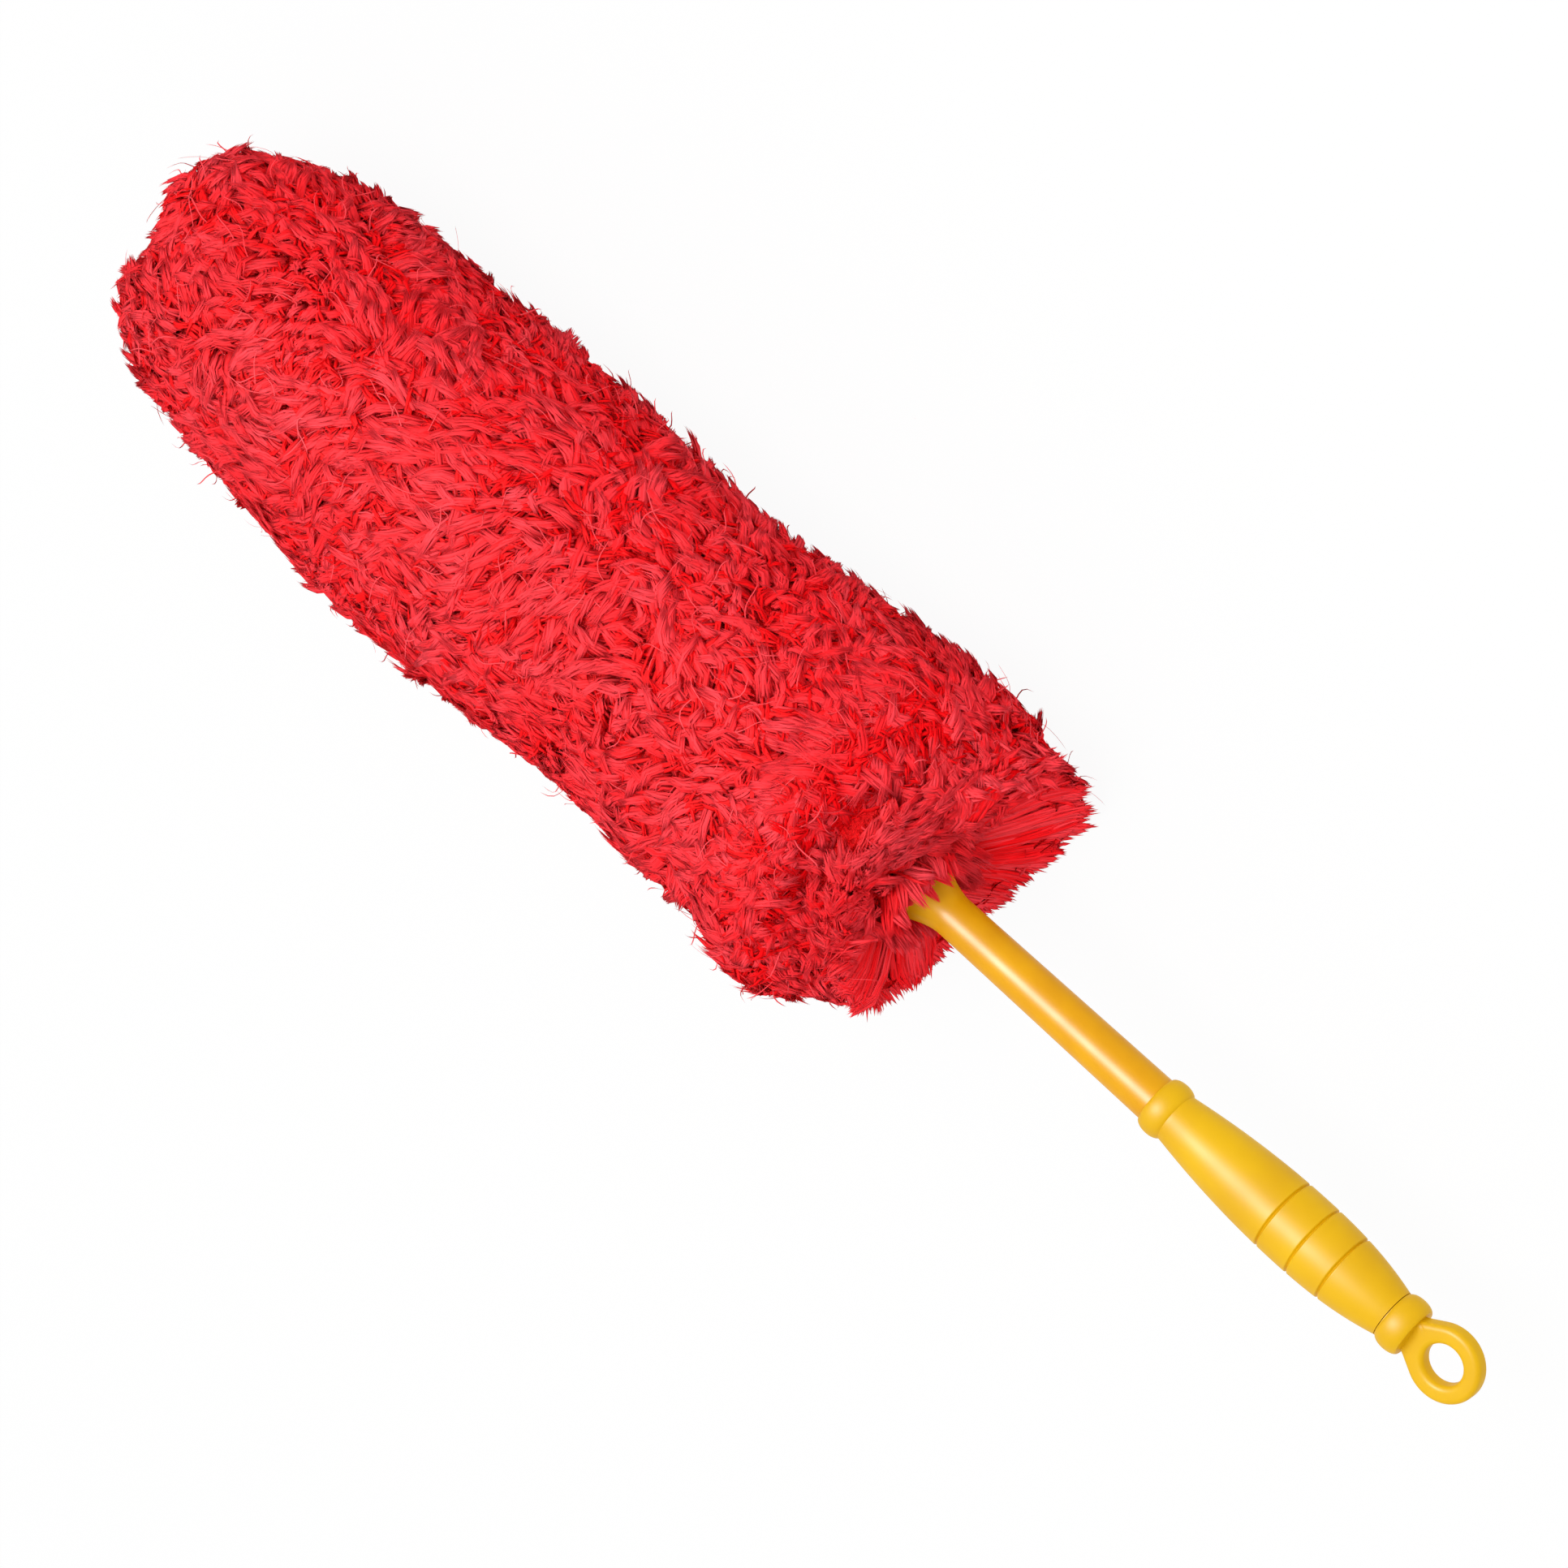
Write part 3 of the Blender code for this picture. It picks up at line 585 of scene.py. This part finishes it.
def blades(name, path, width, facing, tone, finish):
    """Flattened three-sided blades: path is (strand, step, xyz), width is (strand, step), ending in a point.

    At each step the section's corners are set out along two directions square to the path: one lies in the
    head's surface, and the other faces out of it.
    """
    strands, steps = path.shape[:2]
    ahead = unit(np.gradient(path, axis=1))
    tilted = (facing + 0.35 * chance.normal(size=facing.shape))[:, None]
    side = unit(np.cross(tilted, ahead))
    face = np.cross(ahead, side)
    half = (width / 2)[:, :-1, None, None]
    section = side[:, :-1, None] * SECTION[:, :1] + face[:, :-1, None] * SECTION[:, 1:]
    rings = path[:, :-1, None] + half * section
    points = np.concatenate([rings.reshape(strands, -1, 3), path[:, -1:]], axis=1)
    points[..., 2] = np.maximum(points[..., 2], 0.0004)
    corners = points.shape[1]
    faces = blade_faces(steps) + corners * np.arange(strands)[:, None, None]
    made = mesh_from_arrays(name, points.reshape(-1, 3), faces.reshape(-1, 3), finish)
    along = np.concatenate([np.repeat(np.linspace(0, 1, steps)[:-1], 3), [1.0]])
    for key, value in (("along_strand", np.tile(along, strands)), ("strand_tone_and_light", np.repeat(tone, corners))):
        made.data.attributes.new(key, "FLOAT", "POINT").data.foreach_set("value", value.astype(np.float32))
    spread = np.repeat(unit(facing), corners, axis=0).astype(np.float32)
    lie = made.data.attributes.new("tuft_facing", "FLOAT_VECTOR", "POINT")
    lie.data.foreach_set("vector", spread.ravel())
    return made


print("triangles in a blade of 5 steps:", len(blade_faces(5)))

# %% [markdown]
# ## Finish: red polyester microfibre
#
# Microfibre pile is polyester split finer than a hair. Dyed signal red, it is matt with a soft sheen, and
# light that sinks between the fibres comes back redder, because only red survives being passed from one to
# the next. The colour paints this: a deeper red at the roots as painted shade, and a paler red at the tips as
# a painted highlight. It follows two numbers that each strand carries, its own tone, which also holds painted
# light and shade, and the way along it, and a slow patchiness a few centimetres wide. The imported roots
# carry no strands, so their colour and a bump follow fine noise, a millimetre and a half across, like cut
# fibre ends, with painted shade in the noise's hollows.


# %% Microfibre
def microfibre(name, root, tip, pale, softness=3.5):
    """Red pile: painted shade at the root, a painted highlight at the tip, paler by tone and patch, shaded
    partly by tuft facing.
    """
    made, tree, shader = new_finish(name)
    place = add_node(tree, "TexCoord").outputs["Object"]
    along = add_node(tree, "Attribute", attribute_name="along_strand").outputs["Fac"]
    tone = add_node(tree, "Attribute", attribute_name="strand_tone_and_light").outputs["Fac"]
    facing = add_node(tree, "Attribute", attribute_name="tuft_facing").outputs["Vector"]
    ripe = add_node(tree, "MapRange", {"Value": along, "From Min": 0.15, "From Max": 0.9})
    body = add_node(tree, "Mix", {0: ripe.outputs["Result"], 6: linear(root), 7: linear(tip)},
                    data_type="RGBA")
    patch = add_node(tree, "TexNoise", {"Vector": place, "Scale": 1000 / 35, "Detail": 2.0})
    lift = add_node(tree, "Math", {0: patch.outputs["Fac"], 1: tone}, operation="MULTIPLY")
    shown = add_node(tree, "Mix", {0: lift.outputs["Value"], 6: body.outputs[2], 7: linear(pale)},
                     data_type="RGBA")
    normal = add_node(tree, "NewGeometry").outputs["Normal"]
    same = add_node(tree, "VectorMath", {0: normal, 1: facing}, operation="DOT_PRODUCT")
    share = add_node(tree, "MapRange", {"Value": same.outputs["Value"], "From Min": 0.0, "From Max": 0.6,
                                        "To Max": softness})
    soft = add_node(tree, "VectorMath", {0: facing, 3: share.outputs["Result"]}, operation="SCALE")
    both = add_node(tree, "VectorMath", {0: normal, 1: soft.outputs[0]}, operation="ADD")
    shaded = add_node(tree, "VectorMath", {0: both.outputs[0]}, operation="NORMALIZE")
    set_sockets(shader, {"Base Color": shown.outputs[2], "Normal": shaded.outputs[0], "Roughness": 0.7,
                         "Specular IOR Level": 0.06, "Sheen Weight": 0.55, "Sheen Roughness": 0.4,
                         "Sheen Tint": linear("#FF3848")})
    return made


def packed_fibres(name, deep, end, grain_mm=1.5):
    """Packed pile: fine noise mixes the colour of the gaps, painted shade, with that of the fibres' ends,
    which it raises.
    """
    made, tree, shader = new_finish(name)
    place = add_node(tree, "TexCoord").outputs["Object"]
    ends = add_node(tree, "TexNoise", {"Vector": place, "Scale": 1000 / grain_mm, "Detail": 2.0})
    raised = add_node(tree, "MapRange", {"Value": ends.outputs["Fac"], "From Min": 0.35, "From Max": 0.65})
    colour = add_node(tree, "Mix", {0: raised.outputs["Result"], 6: linear(deep), 7: linear(end)},
                      data_type="RGBA")
    bump = add_node(tree, "Bump", {"Height": ends.outputs["Fac"], "Strength": 1.0, "Distance": 0.003})
    set_sockets(shader, {"Base Color": colour.outputs[2], "Normal": bump.outputs["Normal"],
                         "Roughness": 0.8, "Specular IOR Level": 0.06})
    return made


# Painted light and shade in these colours: the deeper red roots and undercoat are painted shade, the paler
# tips and strays a painted highlight.
red_pile = microfibre("red_polyester_microfibre", "#FF0008", "#FF1822", "#FF5662")
under_pile = microfibre("microfibre_undercoat", "#F80006", "#FF000C", "#FF000C")
pale_pile = microfibre("single_microfibre_strands", "#FF1C24", "#FF3038", "#FF5A62")
# The packed roots' darker red in the grain's hollows is painted shade.
packed_pile = packed_fibres("packed_microfibre_roots", "#D80006", "#FF0E16")
print(red_pile.name, under_pile.name, pale_pile.name, packed_pile.name)

# %% [markdown]
# ## Packed roots
#
# Near the wire the fibres are packed so tight that they read as one soft mass. A closed bumpy body a few
# millimetres under the tufts' tips stands for it, so no gap between tufts ever shows daylight.

# %% Inner body
body_share = np.concatenate([np.linspace(FACE_START, 0, 40)[:-1], np.linspace(0, 1, 150)])
body_angle = 2 * np.pi * np.arange(160) / 160
share_grid, angle_grid = np.meshgrid(body_share, body_angle, indexing="ij")
to_side = FRONT_ANGLE - angle_grid
steep = np.clip(np.cos(to_side) - 0.7 * np.sin(to_side), 0, 1) * np.exp(-((share_grid - 0.03) / 0.04) ** 2)
body_out = 0.89 - 0.12 * np.exp(-(share_grid / 0.045) ** 2) - 0.09 * steep
body_out = body_out - 0.04 * np.exp(-((share_grid - 0.9) / 0.05) ** 2)
smooth = pile_point(share_grid, body_out, angle_grid)
swell = waves(smooth.reshape(-1, 3), 0.012, 3).reshape(share_grid.shape)
body_grid = pile_point(share_grid, body_out + 0.02 * swell, angle_grid)
poles = [np.broadcast_to(row.mean(axis=0), (1, *row.shape)) for row in (body_grid[0], body_grid[-1])]
roots = grid_piece("pile_roots", np.concatenate([poles[0], body_grid, poles[1]]), packed_pile, crease=180)
print(roots.name, len(roots.data.polygons), "faces")

# %% [markdown]
# ## Combing the pile
#
# Three sizes of order make a pile look real. Locks a thumb wide lean together, with a valley between one
# lock and the next. Each lock is made of tufts a few millimetres wide, like small flames, whose strands
# close to a shared point and curl together. Each strand then strays a little on its own. The flow runs away
# from the neck and on to the tip, and wanders with the slow noise. On the front it parts at the rim: some
# tufts hang back over the neck and the rest lie forward, mixed together where they meet, while at the sides
# and below the tufts are turned back to the rim, where the long bundles of the skirt take over. Tufts deep
# in a valley are painted the reddest, as painted shade, and tufts in a lock's middle paler, as painted light.

# %% Locks and their lie
LOCKS = 380
lock_share, lock_angle = even_places(LOCKS)
lock_place = pile_point(lock_share, 1.0, lock_angle)
tipness = np.clip((lock_share - 0.78) / 0.12, 0, 1)
lock_turn = 0.8 * waves(lock_place, 0.08, 11) + chance.normal(0, 0.65 + 0.5 * tipness, LOCKS)
lock_lay = 0.0125 + 0.003 * waves(lock_place, 0.06, 12) - 0.005 * tipness
lock_rise = 0.0009 * waves(lock_place, 0.05, 13) + chance.normal(0, 0.0010, LOCKS) + 0.0004 * tipness
lock_tone = chance.uniform(0.0, 1.0, LOCKS)
print("locks:", LOCKS, "lay", round(1000 * float(lock_lay.mean()), 1), "mm")


# %% Tufts within the locks
def nearest_locks(points):
    """Each point's lock, and how far it is on the way from the lock's middle to its border, from 0 to 1."""
    warped = points + 0.004 * np.stack([waves(points, 0.02, 20 + i) for i in range(3)], axis=1)
    distance = np.linalg.norm(warped[:, None] - lock_place[None], axis=2)
    order = np.argsort(distance, axis=1)[:, :2]
    row = np.arange(len(points))
    near, next_near = distance[row, order[:, 0]], distance[row, order[:, 1]]
    return order[:, 0], 2 * near / (near + next_near)


TUFTS = 5100
NECK_TUFTS = 560
tuft_share, tuft_angle = even_places(TUFTS)
round_front = (FRONT_ANGLE - tuft_angle + np.pi) % (2 * np.pi) - np.pi
shown = (tuft_share > 0.012) | (np.abs(round_front) < 1.05 + 0.2 * chance.normal(size=TUFTS))
tuft_share = np.concatenate([tuft_share[shown], chance.uniform(-0.17, 0.13, NECK_TUFTS)])
tuft_angle = np.concatenate([tuft_angle[shown], FRONT_ANGLE + chance.uniform(-1.25, 1.25, NECK_TUFTS)])
tufts = len(tuft_share)
coat = tufts_at(tuft_share, tuft_angle)
owner, border = nearest_locks(coat.place)
valley = np.clip(border - 0.4, 0, 1) / 0.6
on_face = np.clip(-tuft_share / 0.04, 0, 1)
print("tufts:", tufts)

# %% Lie of each tuft
heading = lock_turn[owner] + chance.normal(0, 0.5, tufts)
lay = (lock_lay[owner] + chance.normal(0, 0.0025, tufts)).clip(0.006, 0.02)
rise = lock_rise[owner] - 0.0028 * valley ** 2 + chance.normal(-0.0006, 0.0008, tufts) + 0.003 * on_face
lay = np.where(tuft_share < 0, np.minimum(lay, 0.004 - 0.23 * tuft_share), lay)
heading = heading + 0.4 * on_face * chance.normal(size=tufts)
turned_back = (tuft_share < 0.05) & (np.cos(FRONT_ANGLE - tuft_angle) < 0.4)
heading = np.where(turned_back, math.pi + 0.5 * heading, heading)
lay = np.where(turned_back, 0.003 + 0.09 * np.clip(tuft_share, 0, 1), lay)
on_ridge = (np.abs(tuft_share - 0.01) < 0.035) & ~turned_back
heading = np.where(on_ridge, 0.7 * heading + math.pi * (tuft_share > 0), heading)
mixed = (tuft_share > 0.02) & (tuft_share < 0.075) & ~turned_back & (chance.uniform(size=tufts) < 0.5)
heading = np.where(mixed, heading + math.pi, heading)
lay = np.where(on_ridge, chance.uniform(0.008, 0.013, tufts), lay)
curl = chance.uniform(0.0006, 0.0034, tufts) * chance.choice([-1, 1], tufts)
to_front = np.array([0, math.sin(FRONT_ANGLE), math.cos(FRONT_ANGLE)])
at_end = np.clip((tuft_share - 0.88) / 0.08, 0, 1)
coat.lit = unit(coat.outward + 0.7 * np.maximum(on_face, at_end)[:, None] * to_front)
coat.heading, coat.lay, coat.rise, coat.curl = heading, lay, rise, curl
print("turned back:", int(turned_back.sum()), "on the ridge:", int(on_ridge.sum()))

# %% [markdown]
# ## Growing the strands
#
# Each strand starts a few millimetres deep beside its tuft's middle, rises, and bends over to lie along the
# tuft's heading. Across the heading its own offset shrinks towards the tip, so the tuft closes to a point,
# and a sine wave that all its strands share makes the tuft curl as one. Strands near the tuft's middle are
# the longest.


# %% Strand curves
def tuft_strands(group, strands, spread, depth, steps, bend=0.62):
    """(path, facing, tuft number) for all strands of a group of tufts, in metres from three sums.

    Ahead: lay times t plus an offset. Across: an offset times one minus a power of t, plus the shared curl
    times t times a sine. Out: minus the depth times (1 - t) squared, plus the rise, less the skin's own
    curving away.
    """
    which = np.repeat(np.arange(len(group.lay)), strands)
    offset = chance.normal(0, 1, (len(which), 2, 1))
    close = np.linalg.norm(offset, axis=1)
    t = steps[None, :]
    length = group.lay[which][:, None] * (1.18 - 0.2 * close) * chance.uniform(0.85, 1.1, (len(which), 1))
    forward = length * t + spread * offset[:, 0] * (1 - 0.6 * t)
    wave = np.sin(2 * np.pi * bend * t + 4 * chance.uniform(0, 1, len(group.lay))[which][:, None]) * t
    own = 0.0007 * chance.normal(0, 1, (len(which), 1)) * t
    across = spread * offset[:, 1] * (1 - 0.82 * t ** 1.4) + group.curl[which][:, None] * wave + own
    dome = 0.0009 * close ** 2 * (1 - 0.5 * t)
    out = group.rise[which][:, None] * t - depth * (1 - t) ** 2 - dome - forward ** 2 / 0.13 + 0.0016 * t
    turn = group.heading[which][:, None]
    ahead, around, outward = group.ahead[which], group.around[which], group.outward[which]
    one = (forward * np.cos(turn) - across * np.sin(turn))[..., None] * ahead[:, None]
    two = (forward * np.sin(turn) + across * np.cos(turn))[..., None] * around[:, None]
    path = group.place[which][:, None] + one + two + out[..., None] * outward[:, None]
    lean = 0.6 * offset[:, 1] * (around * np.cos(turn) - ahead * np.sin(turn))
    return path, group.lit[which] + lean, which


STRANDS = 26
SHORT_STEPS = np.array([0.0, 0.55, 1.0])
SHORT_TAPER = np.array([1.0, 0.9, 0.2])
path, facing, which = tuft_strands(coat, STRANDS, 0.0019, 0.0036, SHORT_STEPS)
width = chance.uniform(0.0010, 0.0016, len(which))[:, None] * SHORT_TAPER
# Painted light and shade: random tone per lock, painted paler in a lock's middle and deeper red towards its
# valley.
lock_tone_with_valley_shade = (0.38 + 0.30 * lock_tone[owner]) * (1 - valley)
tone = np.clip(lock_tone_with_valley_shade[which] + chance.uniform(0, 0.45, len(which)), 0, 1)
print("strands:", len(which))

# %% Pile pieces
PIECES = 8
band = which * PIECES // tufts
pile_pieces = []


def add_pile(name, path, width, facing, tone, finish=red_pile):
    """Makes a piece of blades, keeps it with the others and prints its size."""
    pile_pieces.append(blades(name, path, width, facing, tone, finish))
    print(name, len(pile_pieces[-1].data.polygons), "triangles")


for number in range(PIECES):
    chosen = band == number
    add_pile(f"pile_fibres_{number + 1}", path[chosen], width[chosen], facing[chosen], tone[chosen])

# %% [markdown]
# ## The undercoat
#
# Under the tufts lies a shorter, denser coat whose fibres point every way. It is what shows in the valleys,
# painted a deeper red as painted shade, and it keeps the imported roots from being seen. A real head has it
# too, from the short fibres that the wire caught by one end. It is grown like the tufts, one to three
# millimetres lower, in six slightly wider strands each, and with extra tufts along the front rim, where the
# pile parts.

# %% Undercoat
UNDER = 3000
RIM_UNDER = 300
under_share, under_angle = even_places(UNDER)
under_angle = under_angle + 1.0
at_rim = (np.abs(under_share + 0.02) < 0.04) & (np.cos(FRONT_ANGLE - under_angle) < 0.55)
under_share = np.where(at_rim, chance.uniform(0.025, 0.08, UNDER), under_share)
under_share = np.concatenate([under_share, chance.uniform(-0.01, 0.10, RIM_UNDER)])
under_angle = np.concatenate([under_angle, FRONT_ANGLE + chance.uniform(-1.1, 1.1, RIM_UNDER)])
count = len(under_share)
undergrowth = tufts_at(under_share, under_angle, heading=chance.uniform(0, 2 * np.pi, count),
                       lay=chance.uniform(0.008, 0.013, count), rise=chance.uniform(-0.0036, -0.0018, count),
                       curl=chance.uniform(-0.003, 0.003, count))
path, facing, which = tuft_strands(undergrowth, 6, 0.0026, 0.0042, SHORT_STEPS)
width = chance.uniform(0.0011, 0.0018, len(which))[:, None] * SHORT_TAPER
# The undercoat's deeper red is painted shade for the valleys.
add_pile("pile_undercoat", path, width, facing, np.zeros(len(which)), under_pile)

# %% [markdown]
# ## The skirt round the neck
#
# At both sides of the neck and below it the head shows its strands from the side: long smooth bundles that
# fan out from the neck to the skirt's rim and end there in a fringe. They run on the skin of the face round
# the neck, swell a little on the way, and each strand ends with a straight piece a few millimetres long.

# %% Skirt bundles
BUNDLES = 90
LONG = 44
steps = np.linspace(0, 1, 5)
bundle_round = np.radians(46 + 268 * ((np.arange(BUNDLES) * 0.618034) % 1))
which = np.repeat(np.arange(BUNDLES), LONG)
gap = chance.normal(0, 1, (len(which), 2))
t = steps[None, :]
bundle_end = chance.uniform(-0.03, -0.008, BUNDLES)[which][:, None]
reached = t * chance.uniform(0.93, 1.0, (len(which), 1))
share = FACE_START + 0.01 * np.abs(gap[:, :1]) + (bundle_end - FACE_START) * reached
turned_by = 0.10 * chance.normal(0, 1, BUNDLES)[which][:, None] * t ** 2
angle = FRONT_ANGLE - bundle_round[which][:, None] + 0.085 * gap[:, 1:] * (1 - 0.35 * t) + turned_by
level = chance.uniform(0.88, 1.02, BUNDLES)[which][:, None]
level = level - 0.02 * np.abs(gap[:, 1:]) + 0.04 * np.sin(np.pi * t)
path = pile_point(share, level - 0.06 * (1 - t) ** 2, angle)
ripple = 0.0009 * np.sin(7 * t + 6 * gap[:, :1]) * t
path += ripple[..., None] * unit(chance.normal(size=(len(which), 1, 3)))
fringe = unit(path[:, -1:] - path[:, -2:-1]) * chance.uniform(0.001, 0.005, (len(which), 1, 1))
path = np.concatenate([path, path[:, -1:] + fringe], axis=1)
facing = skin_frame(np.full(len(which), -0.08), angle[:, 3])[3]
facing = facing + 0.25 * gap[:, 1:].clip(-1.5, 1.5) * np.cross(facing, unit(path[:, -1] - path[:, 0]))
facing = facing + 0.6 * to_front
width = chance.uniform(0.0010, 0.0016, len(which))[:, None] * np.array([0.8, 0.9, 1.0, 1.0, 0.8, 0.3])
tone = np.clip(chance.uniform(0, 1, BUNDLES)[which] + chance.normal(0, 0.25, len(which)), 0, 1)
add_pile("pile_skirt", path, width, facing, tone)

# %% [markdown]
# ## The collar over the mouth
#
# Short ends of pile droop over the flared mouth of the shaft and hide its rim, so the neck seems to sink
# into the head. Their roots are just in front of the mouth, and they bend back over it.

# %% Collar
COLLAR = 84
SHORT = 22
steps = np.array([0.0, 0.35, 0.7, 1.0])
collar_angle = (np.arange(COLLAR) * GOLDEN_ANGLE) % (2 * np.pi)
collar_reach = chance.uniform(0.005, 0.013, COLLAR)
collar_rise = chance.uniform(0.0145, 0.025, COLLAR)
which = np.repeat(np.arange(COLLAR), SHORT)
gap = chance.normal(0, 1, (len(which), 3))
t = steps[None, :, None]
angle = collar_angle[which] + 0.10 * gap[:, 0]
root = round_axis(PILE_REAR + 0.008 + 0.001 * gap[:, 1], 0.012, angle)
knee = round_axis(PILE_REAR + 0.001 + 0.0012 * gap[:, 1], 0.9 * collar_rise[which] + 0.001 * gap[:, 2], angle)
tip_angle = collar_angle[which] + 0.03 * gap[:, 0] + chance.normal(0, 0.3, COLLAR)[which]
end = round_axis(PILE_REAR - collar_reach[which] + 0.0007 * gap[:, 1],
                 collar_rise[which] + 0.0007 * gap[:, 2], tip_angle)
path = (1 - t) ** 2 * root[:, None] + 2 * t * (1 - t) * knee[:, None] + t ** 2 * end[:, None]
facing = unit(knee - [PILE_REAR + 0.01, 0, AXIS_HEIGHT]) + 0.8 * to_front
width = chance.uniform(0.0010, 0.0016, len(which))[:, None] * np.array([1.0, 1.0, 0.8, 0.2])
tone = chance.uniform(0, 1, COLLAR)[which]
add_pile("pile_collar", path, width, facing, tone)

# %% [markdown]
# ## Stray strands
#
# Any pile has single strands that escaped their tuft: long, thin and curly, lying across the others and
# sticking out of the outline. They are painted a paler red, as a painted highlight on thin strands. A
# thousand are enough to break up the order. They are tufts of one strand.

# %% Strays
STRAYS = 1000
stray_share, stray_angle = even_places(STRAYS)
stray_share = np.maximum(stray_share, 0.015)
stray = tufts_at(stray_share, stray_angle + chance.normal(0, 0.1, STRAYS),
                 heading=chance.normal(0, 1.4, STRAYS), lay=chance.uniform(0.010, 0.022, STRAYS),
                 rise=chance.normal(0.0012, 0.0015, STRAYS),
                 curl=chance.uniform(0.002, 0.005, STRAYS) * chance.choice([-1, 1], STRAYS))
steps = np.linspace(0, 1, 9)
path, facing, which = tuft_strands(stray, 1, 0.002, 0.006, steps, bend=0.8)
width = chance.uniform(0.0004, 0.0006, STRAYS)[:, None] * np.interp(steps, [0, 0.8, 1], [1.0, 0.9, 0.5])
# The strays' paler red is a painted highlight.
add_pile("pile_strays", path, width, facing, np.ones(STRAYS), pale_pile)

# %% [markdown]
# ## Hang the pieces on the model
#
# Every new piece rides on the duster's one body, and the imported node it stands for is hidden. The hidden
# fittings keep their imported meshes and only get their finishes.

# %% Rides and replacements
PILE_NODES = [f"pile_slice_{number:02d}" for number in range(1, 18)]
for piece in [roots, *pile_pieces]:
    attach(piece, "root")
    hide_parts(*PILE_NODES)
for piece, node, slot in ((shaft, "shaft_tube", "shaft_plastic"), (grip, "grip_sleeve", "grip_plastic"),
                          (plug, "end_plug", "grip_plastic"), (eye, "end_plug", "grip_plastic")):
    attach(piece, "root")
    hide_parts(node)
FINISHES = {"shaft_tube": glossy_plastic, "grip_sleeve": satin_plastic, "end_plug": satin_plastic,
            "neck_bush": natural_nylon, "anchor_plug": natural_nylon, "tip_cap": natural_nylon,
            "core_wire": galvanised_steel}
for name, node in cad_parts.items():
    node.data.materials.clear()
    node.data.materials.append(FINISHES.get(name, packed_pile))
print("dressed:", len(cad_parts), "nodes")

# %% [markdown]
# ## Table, light and camera
#
# The photograph is a catalogue cut-out on white, under a wide soft light from above. The table is white to
# the camera and keeps a share of its own shading, so shadows stay. The key lamp lights every surface but
# isn't mirrored. A smaller lamp beside it is only mirrored, which puts the long highlight on the shaft
# where the photograph has it, and a weak lamp behind lifts the far side's shadows. The camera stands two
# and a half metres away with a long lens, which is what the photograph's perspective gives.


# %% Table and world
def seen_directly(tree):
    """1 for rays that the camera or a mirror or clear surface sends out, and 0 for rays that carry light."""
    ray = add_node(tree, "LightPath")
    seen = ray.outputs["Is Camera Ray"]
    for other in ("Is Transmission Ray", "Is Glossy Ray"):
        larger = add_node(tree, "Math", {0: seen, 1: ray.outputs[other]}, operation="MAXIMUM")
        seen = larger.outputs[0]
    return seen


def white_ground(name, shown, colour):
    """A pale ground that the camera and mirrors see as nearly white, with a share of its shading kept."""
    made = bpy.data.materials.new(name)
    tree = bare_tree(made)
    share = add_node(tree, "Math", {0: seen_directly(tree), 1: shown}, operation="MULTIPLY")
    matt = add_node(tree, "BsdfDiffuse", {"Color": linear(colour)})
    glow = add_node(tree, "Emission", {"Color": (1, 1, 1, 1), "Strength": 1.0})
    mix = add_node(tree, "MixShader", {0: share.outputs[0], 1: matt.outputs[0], 2: glow.outputs[0]})
    add_node(tree, "OutputMaterial", {"Surface": mix.outputs[0]})
    return made


table_grid = np.array([[-4.0, -4.0, 0.0], [4.0, -4.0, 0.0], [4.0, 4.0, 0.0], [-4.0, 4.0, 0.0]])
white_table = white_ground("white_table", 0.94, "#DEDEDE")
table = mesh_from_arrays("table", table_grid, np.array([[0, 1, 2, 3]]), white_table)
world = bpy.data.worlds.new("soft_surroundings")
bpy.context.scene.world = world
world_tree = bare_tree(world)
level = add_node(world_tree, "MapRange", {"Value": seen_directly(world_tree), "To Min": 0.90, "To Max": 1.0})
sky = add_node(world_tree, "Background", {"Color": (1, 1, 1, 1), "Strength": level.outputs["Result"]})
add_node(world_tree, "OutputWorld", {"Surface": sky.outputs[0]})
print(table.name, world.name)


# %% Lamps
def soft_lamp(name, place, aim, size, power):
    """A rectangular area lamp at a place, turned to face a point."""
    light = bpy.data.lights.new(name, "AREA")
    light.shape = "RECTANGLE"
    light.size, light.size_y = size
    light.energy = power
    made = add_object(name, light)
    made.location = place
    made.rotation_euler = (Vector(aim) - Vector(place)).to_track_quat("-Z", "Y").to_euler()
    return made


key = soft_lamp("key", (0.10, -0.58, 1.94), (0.0, 0.0, 0.05), (1.2, 1.1), 21)
key.visible_glossy = False
shine = soft_lamp("shine", (0.43, -0.36, 1.93), (0.0, 0.0, 0.05), (0.9, 0.9), 200)
shine.visible_diffuse = False
fill = soft_lamp("fill", (0.2, 1.7, 1.3), (0.0, 0.0, 0.05), (1.4, 1.4), 3)
fill.visible_glossy = False
print(key.name, shine.name, fill.name)

# %% Camera
camera_data = bpy.data.cameras.new("camera")
camera_data.lens = 164.43
camera_data.sensor_width = 36.0
camera_data.clip_end = 20.0
camera = add_object("camera", camera_data)
right, up, back = (-0.71172, -0.42384, -0.56020), (0.64613, -0.70790, -0.28531), (-0.27564, -0.56502, 0.77768)
stand = (-0.69084, -1.40804, 2.00797)
camera.matrix_world = Matrix([[right[i], up[i], back[i], stand[i]] for i in range(3)] + [[0, 0, 0, 1]])
bpy.context.scene.camera = camera
bpy.context.scene.view_settings.view_transform = "Standard"
print("lens:", camera_data.lens)

# %% Update the scene
bpy.context.view_layer.update()
